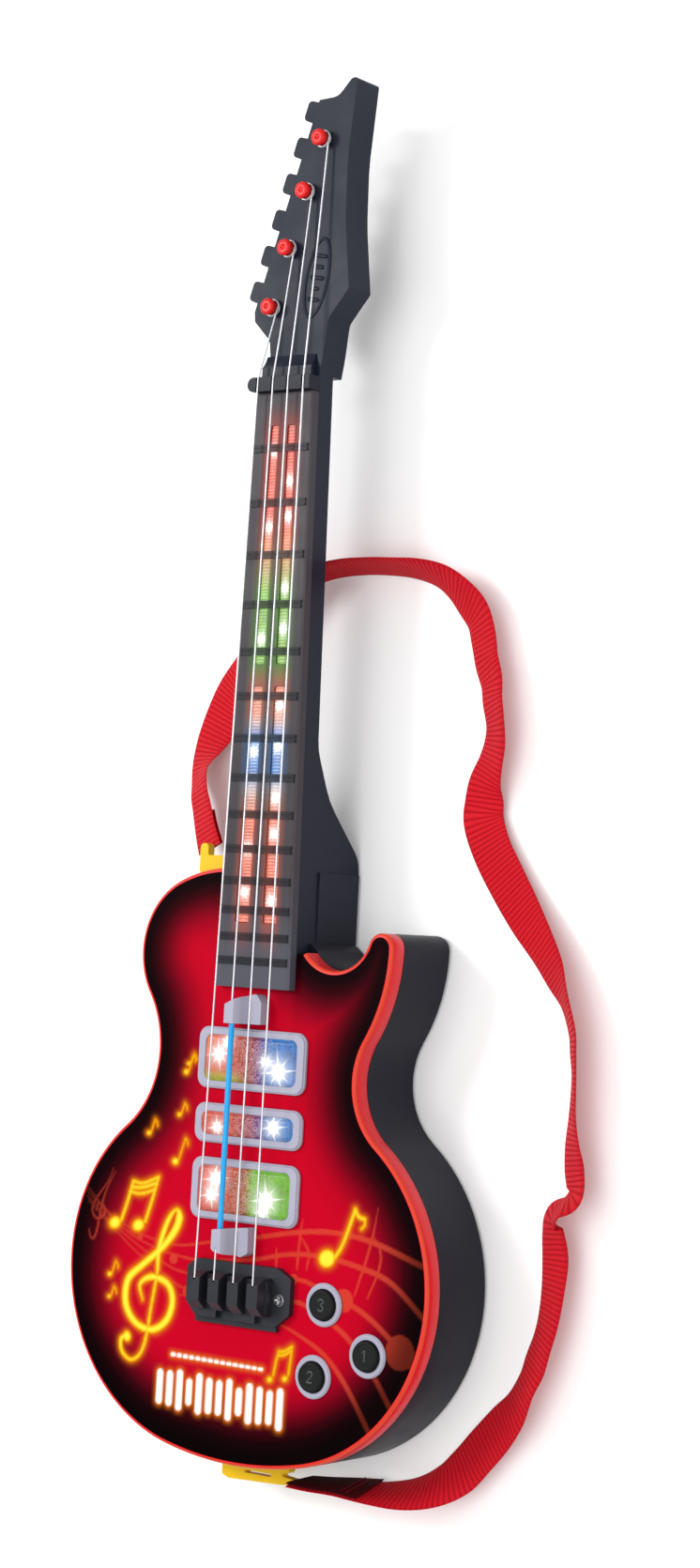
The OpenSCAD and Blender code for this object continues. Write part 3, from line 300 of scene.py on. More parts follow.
def inside(points: Array, path: Array) -> Array:
    """True where a level line to the right of the point crosses the closed path an odd number of times."""
    a, b = path, np.roll(path, -1, 0)
    result = np.empty(len(points), bool)
    for s in range(0, len(points), CHUNK):
        x, y = points[s:s + CHUNK, 0, None], points[s:s + CHUNK, 1, None]
        straddles = (a[:, 1] > y) != (b[:, 1] > y)
        step = np.where(np.abs(b[:, 1] - a[:, 1]) < 1e-9, 1e-9, b[:, 1] - a[:, 1])
        crossing = a[:, 0] + (y - a[:, 1]) * (b[:, 0] - a[:, 0]) / step
        result[s:s + CHUNK] = (straddles & (x < crossing)).sum(1) % 2 == 1
    return result


def fade(x: Array, low: float, high: float) -> Array:
    """Smooth step from 0 at low to 1 at high: 3t^2 - 2t^3 of the clipped share t."""
    t = np.clip((x - low) / (high - low), 0, 1)
    return t * t * (3 - 2 * t)


def closed_mesh(mesh: bpy.types.Mesh) -> bool:
    """True when every edge has exactly two faces."""
    ends = np.empty(len(mesh.loops), np.int32)
    mesh.loops.foreach_get("edge_index", ends)
    return bool((np.bincount(ends, minlength=len(mesh.edges)) == 2).all())


def mesh_size(mesh: bpy.types.Mesh) -> tuple[float, float]:
    """Volume and surface of a mesh, both from its triangles."""
    points = np.empty(len(mesh.vertices) * 3, np.float32)
    mesh.vertices.foreach_get("co", points)
    mesh.calc_loop_triangles()
    tris = np.empty(len(mesh.loop_triangles) * 3, np.int32)
    mesh.loop_triangles.foreach_get("vertices", tris)
    p, t = points.reshape(-1, 3).astype(float), tris.reshape(-1, 3)
    normal = np.cross(p[t[:, 1]] - p[t[:, 0]], p[t[:, 2]] - p[t[:, 0]])
    return signed_volume(p, [t]), float(np.linalg.norm(normal, axis=1).sum() / 2)


def joined(node: str, level: bool) -> bpy.types.Mesh:
    """The mesh of a frame node with its corners joined, and its flat faces made whole where level is set."""
    mesh = FRAME["nodes"][node].data.copy()
    work = bmesh.new()
    work.from_mesh(mesh)
    bmesh.ops.remove_doubles(work, verts=work.verts, dist=WELD)
    bmesh.ops.dissolve_degenerate(work, edges=work.edges, dist=WELD)
    if level:
        bmesh.ops.dissolve_limit(work, angle_limit=math.radians(LEVEL_DEGREES), verts=work.verts,
                                 edges=work.edges)
    work.to_mesh(mesh)
    work.free()
    mesh.materials.clear()
    return mesh


def moulded_copy(node: str, bevel: float = 0.0, smooth: float = 30.0, segments: int = 2) -> bpy.types.Object:
    """A copy of a frame node: corners joined, edges broken by a small bevel and arcs shaded smooth.

    A bevel is kept only where the skin stays closed, the volume stays within 5% and the surface doesn't grow.

    Args:
        node: name of the frame node, which the copy stands for.
        bevel: width of the broken edges in millimetres, 0 for none.
        smooth: crease angle in degrees.
        segments: steps across a broken edge.

    Returns:
        The copy.
    """
    plain, whole = joined(node, False), joined(node, True)
    volume, area = mesh_size(plain)
    if abs(mesh_size(whole)[1] / area - 1) < SAME_AREA:
        plain = whole
    obj = bpy.data.objects.new(f"{node}_moulded", plain)
    bpy.context.scene.collection.objects.link(obj)
    for level in (True, False) if bevel else ():
        base = joined(node, level)
        if abs(mesh_size(base)[1] / area - 1) > SAME_AREA:
            continue
        obj.data = base
        shade(obj, smooth)
        mod = obj.modifiers.new("Broken edges", "BEVEL")
        mod.width, mod.segments, mod.limit_method = bevel * MM, segments, "ANGLE"
        mod.angle_limit, mod.use_clamp_overlap = math.radians(BEVEL_DEGREES), True
        mod.miter_outer = "MITER_ARC"
        flat = obj.modifiers.new("Level faces", "WEIGHTED_NORMAL")
        flat.weight, flat.keep_sharp = 100, True
        made = bpy.data.meshes.new_from_object(obj.evaluated_get(bpy.context.evaluated_depsgraph_get()))
        obj.modifiers.clear()
        new_volume, new_area = mesh_size(made)
        kept = abs(new_volume / volume - 1) < VOLUME_DRIFT and AREA_RANGE[0] < new_area / area < AREA_RANGE[1]
        if closed_mesh(made) and kept:
            obj.data = made
            break
        obj.data = plain
    if bevel:
        LOG.info("%s: %s", node, "square edges" if obj.data == plain else "broken edges")
    if obj.data == plain:
        shade(obj, smooth)
    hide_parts(node)
    return obj


# ---------------------------------------------------------------- finishes
class Surface(Enum):
    """How a moulded or metal surface is finished."""
    MATT = 0.55
    SATIN = 0.38
    GLOSS = 0.16


@dataclass(frozen=True)
class Finish:
    """One finish: colour, sheen and how its surface varies."""
    name: str
    colour: Colour
    surface: Surface = Surface.SATIN
    metal: float = 0.0
    grain: float = 0.05
    grain_scale: float = 1400.0
    mottle: float = 0.06
    coat: float = 0.0
    shine: float = 0.14
    light: float = 0.0

    def build(self) -> bpy.types.Material:
        """Makes the material: the moulding grain group shifts its colour and sheen and lifts its surface; with
        light set it glows as painted light.

        Returns:
            The material.
        """
        made = bpy.data.materials.get(self.name)
        if made:
            return made
        bench = Bench.material(self.name)
        grain = bench.group(grain_group(), Scale=self.grain_scale, Patches=60.0)
        dark = tuple(c * (1 - MOTTLE_SWING * self.mottle) for c in self.colour)
        bright = tuple(min(1.0, c * (1 + MOTTLE_SWING * self.mottle) + 0.002) for c in self.colour)
        bench.set("Base Color", bench.mix(grain["Mottle"], dark, bright))
        bench.set("Roughness", bench.span(grain["Mottle"], 0, 1, self.surface.value - 0.06,
                                          self.surface.value + 0.08))
        bench.set("Normal", bench.bump(grain["Height"], self.grain * 0.4, 0.0002))
        bench.constant("Metallic", self.metal)
        bench.constant("Specular IOR Level", self.shine)
        bench.constant("Coat Weight", self.coat)
        bench.constant("Coat Roughness", 0.12)
        # Painted glow for a finish that has a light value
        if self.light:
            bench.set("Emission Color", bench.mix(grain["Mottle"], self.colour, bright))
            bench.constant("Emission Strength", self.light)
        return bench.result


class Bench:
    """A shader tree being wired up, with short calls for the nodes that the finishes need."""

    def __init__(self, tree: bpy.types.NodeTree) -> None:
        """Starts on an empty tree."""
        self.tree = tree
        self.result: Optional[bpy.types.Material] = None
        self.shader: Optional[bpy.types.Node] = None

    @classmethod
    def material(cls, name: str) -> "Bench":
        """A bench whose tree is a new material with one principled shader."""
        made = bpy.data.materials.new(name)
        made.use_nodes = True
        made.node_tree.nodes.clear()
        bench = cls(made.node_tree)
        bench.result = made
        bench.shader = bench.node("ShaderNodeBsdfPrincipled")
        out = bench.node("ShaderNodeOutputMaterial")
        bench.tree.links.new(bench.shader.outputs["BSDF"], out.inputs["Surface"])
        return bench

    def node(self, kind: str, **values: object) -> bpy.types.Node:
        """Adds a node and sets its properties."""
        made = self.tree.nodes.new(kind)
        for key, value in values.items():
            setattr(made, key, value)
        return made

    def feed(self, socket: bpy.types.NodeSocket, value: object) -> None:
        """Puts a number, a colour or another socket into a socket."""
        if isinstance(value, bpy.types.NodeSocket):
            self.tree.links.new(value, socket)
        elif isinstance(value, tuple) and socket.type == "RGBA":
            socket.default_value = (*value[:3], 1.0)
        else:
            socket.default_value = value

    def set(self, name: str, value: object) -> None:
        """Feeds one input of the principled shader."""
        self.feed(self.shader.inputs[name], value)

    def constant(self, name: str, value: float) -> None:
        """Sets one plain number on the principled shader."""
        self.shader.inputs[name].default_value = value

    def group(self, tree: bpy.types.NodeTree, **values: object) -> dict[str, bpy.types.NodeSocket]:
        """Places a shared node group and returns its outputs by name."""
        made = self.node("ShaderNodeGroup", node_tree=tree)
        for key, value in values.items():
            self.feed(made.inputs[key], value)
        return {s.name: s for s in made.outputs}

    def math(self, operation: str, a: object, b: object = 0.0) -> bpy.types.NodeSocket:
        """One step of arithmetic."""
        made = self.node("ShaderNodeMath", operation=operation)
        self.feed(made.inputs[0], a)
        self.feed(made.inputs[1], b)
        return made.outputs[0]

    def mix(self, share: object, a: object, b: object, kind: str = "MIX") -> bpy.types.NodeSocket:
        """Blends two colours by a share."""
        made = self.node("ShaderNodeMix", data_type="RGBA", blend_type=kind)
        self.feed(made.inputs[0], share)
        self.feed(made.inputs[6], a)
        self.feed(made.inputs[7], b)
        return made.outputs[2]

    def span(self, value: object, low: float, high: float, to_low: float, to_high: float,
             smooth: bool = False) -> bpy.types.NodeSocket:
        """Maps one range of numbers to another."""
        made = self.node("ShaderNodeMapRange", interpolation_type="SMOOTHSTEP" if smooth else "LINEAR")
        for socket, number in zip(made.inputs[:5], (value, low, high, to_low, to_high)):
            self.feed(socket, number)
        return made.outputs[0]

    def ramp(self, value: object, stops: Sequence[tuple[float, Colour]],
             kind: str = "LINEAR") -> bpy.types.NodeSocket:
        """Turns a number into a colour by a row of stops."""
        made = self.node("ShaderNodeValToRGB")
        made.color_ramp.interpolation = kind
        marks = made.color_ramp.elements
        while len(marks) < len(stops):
            marks.new(0.5)
        for mark, (place, colour) in zip(marks, stops):
            mark.position, mark.color = place, (*colour, 1.0)
        self.feed(made.inputs[0], value)
        return made.outputs[0]

    def place(self) -> bpy.types.NodeSocket:
        """The object's own coordinates."""
        return self.node("ShaderNodeTexCoord").outputs["Object"]

    def axes(self, vector: bpy.types.NodeSocket) -> Sequence[bpy.types.NodeSocket]:
        """The three numbers of a vector."""
        made = self.node("ShaderNodeSeparateXYZ")
        self.feed(made.inputs[0], vector)
        return made.outputs

    def field(self, name: str, colour: bool = False) -> bpy.types.NodeSocket:
        """A value that the mesh carries on its vertices."""
        made = self.node("ShaderNodeAttribute", attribute_name=name)
        return made.outputs["Color" if colour else "Fac"]

    def noise(self, vector: object, scale: object, detail: float = 3.0,
              rough: float = 0.5) -> bpy.types.NodeSocket:
        """A cloudy value from 0 to 1."""
        made = self.node("ShaderNodeTexNoise")
        self.feed(made.inputs["Vector"], vector)
        self.feed(made.inputs["Scale"], scale)
        made.inputs["Detail"].default_value = detail
        made.inputs["Roughness"].default_value = rough
        return made.outputs["Fac"]

    def bump(self, height: object, strength: float, distance: float) -> bpy.types.NodeSocket:
        """Normals tilted by a height."""
        made = self.node("ShaderNodeBump")
        made.inputs["Strength"].default_value = strength
        made.inputs["Distance"].default_value = distance
        self.feed(made.inputs["Height"], height)
        return made.outputs["Normal"]


def new_group(name: str, inputs: dict[str, float], outputs: Iterable[str]) -> tuple[Bench, dict, dict]:
    """Starts a shared shader group.

    Args:
        name: group name.
        inputs: float inputs with their values.
        outputs: float outputs.

    Returns:
        A bench on the group, its inputs by name and its outputs by name.
    """
    tree = bpy.data.node_groups.new(name, "ShaderNodeTree")
    for key, value in inputs.items():
        tree.interface.new_socket(name=key, in_out="INPUT",
                                  socket_type="NodeSocketFloat").default_value = value
    for key in outputs:
        tree.interface.new_socket(name=key, in_out="OUTPUT", socket_type="NodeSocketFloat")
    bench = Bench(tree)
    start, end = bench.node("NodeGroupInput"), bench.node("NodeGroupOutput")
    return bench, {s.name: s for s in start.outputs if s.name}, {s.name: s for s in end.inputs if s.name}


def grain_group() -> bpy.types.NodeTree:
    """Moulding grain: a fine pebble for the height, and broad soft patches for colour and sheen."""
    name = "Moulding grain"
    if name in bpy.data.node_groups:
        return bpy.data.node_groups[name]
    bench, given, out = new_group(name, {"Scale": 1400.0, "Patches": 60.0}, ("Height", "Mottle"))
    place = bench.place()
    fine = bench.noise(place, given["Scale"], 2.0, 0.6)
    broad = bench.noise(place, given["Patches"], 4.0, 0.55)
    bench.feed(out["Height"], fine)
    both = bench.math("ADD", bench.math("MULTIPLY", broad, 0.75), bench.math("MULTIPLY", fine, 0.25))
    bench.feed(out["Mottle"], bench.span(both, 0.3, 0.7, 0.0, 1.0))
    return bench.tree


def weave_group() -> bpy.types.NodeTree:
    """Ribbed webbing on the UV map: ribs along it, dark selvages and a soft thread pattern across it."""
    name = "Webbing weave"
    if name in bpy.data.node_groups:
        return bpy.data.node_groups[name]
    bench, given, out = new_group(name, {"Ribs": 520.0, "Threads": 26.0}, ("Height", "Valley", "Edge"))
    u, v = bench.axes(bench.node("ShaderNodeUVMap").outputs["UV"])[:2]
    wobble = bench.math("MULTIPLY", bench.noise(bench.place(), 90.0, 2.0), 0.9)
    along = bench.math("MULTIPLY", bench.math("MULTIPLY", u, given["Ribs"]), 2 * math.pi)
    across = bench.math("MULTIPLY", bench.math("MULTIPLY", v, given["Threads"]), 2 * math.pi)
    rib, thread = bench.math("SINE", bench.math("ADD", along, wobble)), bench.math("SINE", across)
    height = bench.math("ADD", bench.math("MULTIPLY", rib, 0.4), bench.math("MULTIPLY", thread, 0.12))
    bench.feed(out["Height"], bench.math("ADD", height, 0.5))
    bench.feed(out["Valley"], bench.span(rib, -1, 0.3, 1.0, 0.0, True))
    side = bench.math("ABSOLUTE", bench.math("SUBTRACT", v, 0.5))
    bench.feed(out["Edge"], bench.span(side, 0.40, 0.5, 0.0, 1.0, True))
    return bench.tree


BLACK_PLASTIC = Finish("Black moulded casing", (0.0060, 0.0068, 0.0150), Surface.SATIN, mottle=0.03,
                       shine=0.12)
CHARCOAL = Finish("Charcoal moulded neck", (0.0105, 0.0130, 0.0250), Surface.SATIN, mottle=0.03, shine=0.12)
BRIDGE_BLACK = Finish("Black bridge plastic", (0.0130, 0.0140, 0.0200), Surface.SATIN, grain=0.08, shine=0.3)
GREY_TRIM = Finish("Lilac grey trim", (0.335, 0.33, 0.41), Surface.SATIN, mottle=0.02, shine=0.2)
CAP_BLACK = Finish("Button cap black", (0.0060, 0.0070, 0.0066), Surface.MATT, grain=0.12, shine=0.12)
FIGURE_BLACK = Finish("Button figure black", (0.020, 0.022, 0.021), Surface.SATIN, grain=0.05, shine=0.5)
PEG_RED = Finish("Glossy red peg", (0.58, 0.006, 0.006), Surface.SATIN, coat=0.08, grain=0.02, shine=0.2)
CLIP_YELLOW = Finish("Yellow clip plastic", (0.80, 0.50, 0.006), Surface.SATIN, mottle=0.03, shine=0.2)
STEEL_WIRE = Finish("Bright steel wire", (0.60, 0.61, 0.64), Surface.SATIN, metal=0.7, grain=0.04,
                    grain_scale=2600, shine=0.5)
PLATED = Finish("Nickel plate", (0.62, 0.62, 0.64), Surface.GLOSS, metal=1.0, grain=0.1, shine=0.5)
BOARD = Finish("Green circuit board", (0.015, 0.14, 0.04), Surface.SATIN)
LAMP = Finish("Milky lamp resin", (0.85, 0.85, 0.8), Surface.GLOSS, coat=0.4, shine=0.5)
RUBBER = Finish("Milky rubber", (0.55, 0.55, 0.5), Surface.MATT)
CONE = Finish("Grey pulp cone", (0.02, 0.02, 0.022), Surface.MATT, grain=0.5, grain_scale=900)
CELL = Finish("Ochre cell sleeve", (0.30, 0.22, 0.05), Surface.GLOSS, shine=0.5)
# The rod glows as painted light through its light value
ROD_BLUE = Finish("Clear blue rod", (0.008, 0.26, 0.56), Surface.GLOSS, coat=0.2, light=0.25)
THREAD = Finish("Red thread", (0.30, 0.002, 0.008), Surface.MATT, grain=0.5)


def dress(obj: bpy.types.Object, finish: Finish | bpy.types.Material,
          body: Optional[str] = None) -> bpy.types.Object:
    """Gives a piece its finish and the body that it rides on.

    Args:
        obj: the piece.
        finish: a finish or a ready material.
        body: the frame body, for a new piece.

    Returns:
        The piece.
    """
    made = finish.build() if isinstance(finish, Finish) else finish
    obj.data.materials.clear()
    obj.data.materials.append(made)
    if body:
        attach(obj, body)
    return obj


# ---------------------------------------------------------------- studio
@dataclass
class Studio:
    """Camera, pale floor and soft lights."""
    eye: tuple[float, float, float] = (0.74476, 0.13954, 1.00343)
    right: tuple[float, float, float] = (0.8070, 0.0551, -0.5880)
    up: tuple[float, float, float] = (-0.0184, 0.9975, 0.0681)
    back: tuple[float, float, float] = (0.5903, -0.0441, 0.8060)
    lens: float = 71.73

    def camera(self) -> None:
        """Sets the camera on its axes."""
        data = bpy.data.cameras.new("Camera")
        data.lens, data.sensor_width, data.sensor_height, data.sensor_fit = self.lens, 36.0, 36.0, "AUTO"
        data.clip_end = 20
        made = bpy.data.objects.new("Camera", data)
        bpy.context.scene.collection.objects.link(made)
        turn = Matrix([self.right, self.up, self.back]).transposed().to_4x4()
        made.matrix_world = Matrix.Translation(self.eye) @ turn
        bpy.context.scene.camera = made

    def floor(self) -> None:
        """A pale floor at the height of the flat back."""
        size, low = 6.0, -0.0002
        mesh = bpy.data.meshes.new("Floor")
        corners = [(-size, -size, low), (size, -size, low), (size, size, low), (-size, size, low)]
        mesh.from_pydata(corners, [], [(0, 1, 2, 3)])
        made = bpy.data.objects.new("Floor", mesh)
        bpy.context.scene.collection.objects.link(made)
        bench = Bench.material("Pale floor")
        bench.set("Base Color", bench.mix(bench.noise(bench.place(), 1.5), (0.90, 0.90, 0.905),
                                          (0.93, 0.93, 0.93)))
        bench.constant("Roughness", 0.9)
        bench.constant("Emission Color", (1.0, 1.0, 1.0, 1.0))
        bench.constant("Emission Strength", 0.08)
        made.data.materials.append(bench.result)

    def lamp(self, name: str, place: Sequence[float], aim: Sequence[float], power: float,
             size: float) -> None:
        """One square soft light aimed at a point."""
        data = bpy.data.lights.new(name, "AREA")
        data.energy, data.size = power, size
        made = bpy.data.objects.new(name, data)
        bpy.context.scene.collection.objects.link(made)
        made.location = place
        made.rotation_euler = (Vector(aim) - Vector(place)).to_track_quat("-Z", "Y").to_euler()

    def lights(self) -> None:
        """A key from the upper left, a broad fill from above and a strip that lights the side."""
        self.lamp("Key", (-0.75, 0.55, 1.15), (0, 0.2, 0), 11.0, 0.45)
        self.lamp("Top", (0.15, 0.1, 1.9), (0, 0.2, 0), 18.0, 1.6)
        self.lamp("Side", (1.5, 0.0, 0.55), (0, 0.2, 0), 5.0, 0.8)
        world = bpy.data.worlds.new("Soft white")
        world.use_nodes = True
        world.node_tree.nodes["Background"].inputs[0].default_value = (1, 1, 1, 1)
        world.node_tree.nodes["Background"].inputs[1].default_value = 0.62
        bpy.context.scene.world = world
        bpy.context.scene.view_settings.view_transform = "Standard"


# ---------------------------------------------------------------- strap
@dataclass
class Strap:
    """Ribbed webbing on its resting route, with doubled and stitched ends."""
    width: float = 20.0
    thick: float = 1.2
    stations: int = 420

    # The route's points: x, y, roll from flat in degrees, and lift of the lower edge
    route = ((19.4, -78.4, 88, 10), (28, -78.4, 84, 8), (38, -78.2, 80, 5), (50, -78.4, 72, 2),
             (63, -77, 58, 0), (75, -72.6, 40, 0), (84, -66, 24, 0), (92, -57, 22, 0), (100, -48, 24, 0),
             (107, -40, 33, 0), (112, -30, 40, 0), (115, -22, 36, 0), (118, -13, 38, 0), (120, -4, 36, 0),
             (121, 7, 33, 0), (121, 18, 29, 0), (120, 27, 33, 0), (120, 33, 42, 0), (125, 38, 60, 0),
             (129, 43, 42, 0), (128, 52, 37, 0), (127, 61, 43, 0), (127, 72, 52, 0), (127, 86, 55, 0),
             (126, 95, 53, 0), (125, 103, 52, 0), (121, 114, 50, 0), (115, 124, 36, 0), (108, 134, 28, 0),
             (98, 146, 17, 0), (89, 158, 12, 0), (81, 170, 10, 0), (76, 181, 6, 0), (76, 188, 8, 0),
             (77, 195, 16, 0), (80, 203, 28, 0), (82, 211, 33, 0), (82, 219, 37, 0), (80, 228, 35, 0),
             (79, 235, 33, 0), (76, 243, 31, 0), (74, 251, 29, 0), (71, 260, 31, 0), (65, 267, 36, 0),
             (58, 273, 47, 0), (49, 277, 62, 0), (38, 279, 72, 0), (26, 280, 76, 0), (12, 280, 79, 0),
             (-2, 278, 84, 0), (-14, 273, 94, 0), (-26, 264, 112, 0), (-36, 252, 132, 0), (-44, 240, 150, 0),
             (-51, 229, 166, 0), (-56, 218, 172, 0), (-59, 208, 162, 1), (-59, 199, 150, 4),
             (-56, 190, 148, 8), (-54, 182, 150, 8), (-52, 174, 152, 8), (-49.5, 166, 155, 8))

    def frame(self) -> tuple[Array, Array, Array, Array]:
        """Centre line, direction across, direction out of the cloth, and length so far at each station.

        The cloth's cross direction is the level normal turned up by the roll; its centre stands where its
        lower edge is lift above the floor.
        """
        p = smooth_path(np.array(self.route), self.stations)
        along = np.gradient(p[:, :2], axis=0)
        along /= np.linalg.norm(along, axis=1, keepdims=True)
        roll = np.radians(p[:, 2])
        level = np.stack([-along[:, 1], along[:, 0]], 1)
        across = np.concatenate([level * np.cos(roll)[:, None], -np.sin(roll)[:, None]], 1)
        out = np.cross(np.concatenate([along, np.zeros((len(p), 1))], 1), across)
        height = p[:, 3] + self.width / 2 * np.abs(np.sin(roll)) + self.thick / 2 * np.abs(np.cos(roll)) + 0.1
        centre = np.concatenate([p[:, :2], height[:, None]], 1)
        run = np.concatenate([[0], np.cumsum(np.linalg.norm(np.diff(centre, axis=0), axis=1))])
        return centre, across, out, run

    def band(self, name: str, part: slice, shift: float, width: float, thick: float) -> bpy.types.Object:
        """A stretch of webbing: at each station a flat oval section, width across and thick out of the cloth.

        Args:
            name: piece name.
            part: stations to cover.
            shift: how far it lies above the route's middle.
            width: full width.
            thick: full thickness.

        Returns:
            The piece.
        """
        centre, across, out, run = (a[part] for a in self.frame())
        s = np.concatenate([np.linspace(-1, 1, 13), np.linspace(1, -1, 13)])
        side = np.concatenate([np.full(13, 1.0), np.full(13, -1.0)])
        edge = np.clip(1 - np.abs(s) ** 10, 0.18, 1)
        rings = (centre + out * shift)[:, None] + across[:, None] * (s * width / 2)[None, :, None]
        rings = rings + out[:, None] * (side * edge * thick / 2)[None, :, None]
        uv = np.stack(np.broadcast_arrays(run[:, None] * MM, (s * 0.5 + 0.5)[None]), -1).reshape(-1, 2)
        return sweep(name, rings, 55, uv)

    def material(self, name: str, depth: float) -> bpy.types.Material:
        """Ribbed weave, with painted shade in the rib valleys, and darker along the selvages.

        Args:
            name: material name.
            depth: how bright the dye is, 1 for the outer face.

        Returns:
            depth: brightness of the webbing's colour, 1 for its own colour and lower for painted shade.
        """
        bench = Bench.material(name)
        weave = bench.group(weave_group())
        low, high = (tuple(depth * c for c in tone) for tone in ((0.50, 0.003, 0.012), (0.60, 0.006, 0.017)))
        tone = bench.mix(bench.noise(bench.place(), 40.0, 4.0), low, high)
        # Painted shade: the rib valleys are darkened
        tone = bench.mix(bench.math("MULTIPLY", weave["Valley"], 0.55), tone, (0.22 * depth, 0.001, 0.004))
        bench.set("Base Color", bench.mix(bench.math("MULTIPLY", weave["Edge"], 0.35), tone,
                                          (0.30 * depth, 0.002, 0.006)))
        bench.set("Roughness", bench.span(weave["Valley"], 0, 1, 0.62, 0.85))
        bench.set("Normal", bench.bump(weave["Height"], 0.55, 0.0005))
        bench.constant("Specular IOR Level", 0.12)
        return bench.result

    def stitches(self, name: str, station: int, shift: float) -> bpy.types.Object:
        """Two rows of short thread stitches across the webbing, each a small bowed tube."""
        centre, across, out, _ = (a[station] for a in self.frame())
        ahead = np.cross(across, out)
        t = np.linspace(-1, 1, 7)
        half_length, rise, radius = 0.62, 0.28, 0.2
        rings = []
        for row in (-1.3, 1.3):
            for k in np.linspace(-7.6, 7.6, 9):
                path = centre + ahead * row + out * shift + across * (k + half_length * t)[:, None]
                path = path + out * (rise * (1 - t**2))[:, None]
                rings.append(tube_rings(path, radius * np.sqrt(np.clip(1.02 - t**2, 0, 1)), 6, out))
        return tubes(name, rings, 60)

    def build(self) -> None:
        """Makes the webbing, its two doubled tails and their stitches."""
        cloth = self.material("Red ribbed webbing", 1.0)
        # Painted shade: a copy of the webbing at a tenth of its brightness, for the lower tail
        inner = self.material("Inner face of the webbing", 0.10)
        run = self.frame()[3]
        band = self.band("strap_webbing", slice(0, self.stations), 0, self.width, self.thick)
        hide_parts("strap")
        n_low = int(np.searchsorted(run, 29.0))
        n_top = int(np.searchsorted(run, run[-1] - 15.0))
        low = self.band("strap_tail_lower", slice(0, n_low), 1.25, self.width - 0.4, 1.1)
        top = self.band("strap_tail_upper", slice(n_top, self.stations), 1.25, self.width - 0.4, 1.1)
        sewn = [self.stitches("strap_stitch_lower", int(n_low * 0.8), 1.85),
                self.stitches("strap_stitch_upper", (n_top + self.stations) // 2, 1.85)]
        # The lower tail wears the painted shade copy
        for piece, finish in ((band, cloth), (low, inner), (top, cloth)):
            dress(piece, finish, "body")
        for piece in sewn:
            dress(piece, THREAD, "body")
        LOG.info("strap: %.0f mm of webbing", run[-1])


# ---------------------------------------------------------------- body
@dataclass
class Outline:
    """The body's outline: a chain of arcs that touch, each bulging outwards or inwards."""
    lobe: float = 17.5
    lobe_r: float = 70.5
    drop: float = 2.0
    shoulder: tuple[float, float] = (-28.0, 124.0)
    shoulder_r: float = 31.6
    collar_r: float = 60.0
    collar_a: float = 115.0
    waist_left: float = 40.0
    waist_right: float = 30.0
    horn: tuple[float, float] = (57.5, 130.2)
    horn_r: float = 5.8
    flank_r: float = 70.0
    scoop: tuple[float, float] = (35.9, 137.5)
    pocket: float = 18.5

    @staticmethod
    def meet(p: Array, rp: float, q: Array, rq: float) -> Array:
        """Centre that is rp from p and rq from q, on the left of the line from p to q."""
        d = np.linalg.norm(q - p)
        a = (rp**2 - rq**2 + d**2) / (2 * d)
        u = (q - p) / d
        return p + a * u + math.sqrt(rp**2 - a**2) * np.array([-u[1], u[0]])

    @staticmethod
    def heading(p: Array, q: Array) -> float:
        """Direction from p to q in degrees, 0 to 360."""
        return math.degrees(math.atan2(q[1] - p[1], q[0] - p[0])) % 360

    def path(self, step: float = 1.2) -> tuple[Array, Array]:
        """Points along the outline and the outward direction at each: centre + r (cos a, sin a) on every arc.

        Args:
            step: spacing in millimetres.

        Returns:
            Points and unit outward directions, from the left side of the neck pocket round to its right side.
        """
        left, right = np.array([-self.lobe, 0.0]), np.array([self.lobe, 0.0])
        tail = np.array([0.0, (self.lobe**2 - self.drop**2) / (2 * self.drop)])
        shoulder, horn, scoop = np.array(self.shoulder), np.array(self.horn), np.array(self.scoop)
        turn = math.radians(self.collar_a)
        collar = shoulder - (self.collar_r - self.shoulder_r) * np.array([math.cos(turn), math.sin(turn)])
        waist_l = self.meet(left, self.lobe_r + self.waist_left, shoulder, self.shoulder_r + self.waist_left)
        flank = horn - np.array([self.flank_r - self.horn_r, 0])
        waist_r = self.meet(flank, self.flank_r + self.waist_right, right, self.lobe_r + self.waist_right)
        h = self.heading
        arcs = ((collar, self.collar_r, 92, self.collar_a, 1),
                (shoulder, self.shoulder_r, self.collar_a, h(shoulder, waist_l), 1),
                (waist_l, self.waist_left, h(waist_l, shoulder), h(waist_l, left) - 360, -1),
                (left, self.lobe_r, h(left, waist_l), h(tail, left), 1),
                (tail, tail[1] + self.lobe_r + self.drop, h(tail, left), h(tail, right), 1),
                (right, self.lobe_r, h(tail, right) - 360, h(right, waist_r), 1),
                (waist_r, self.waist_right, h(waist_r, right), h(waist_r, flank), -1),
                (flank, self.flank_r, h(flank, waist_r) - 360, 0, 1),
                (horn, self.horn_r, 0, h(horn, scoop), 1),
                (scoop, float(np.linalg.norm(scoop - horn)) - self.horn_r, h(scoop, horn), 215, -1))
        points, normals = [], []
        for centre, radius, a0, a1, sign in arcs:
            n = max(6, int(abs(math.radians(a1 - a0)) * radius / step))
            a = np.radians(np.linspace(a0, a1, n, endpoint=False))
            ray = np.stack([np.cos(a), np.sin(a)], 1)
            points.append(centre + radius * ray)
            normals.append(sign * ray)
        points, normals = np.concatenate(points), np.concatenate(normals)
        keep = ~((np.abs(points[:, 0]) < self.pocket) & (points[:, 1] > 100))
        return points[keep], normals[keep]


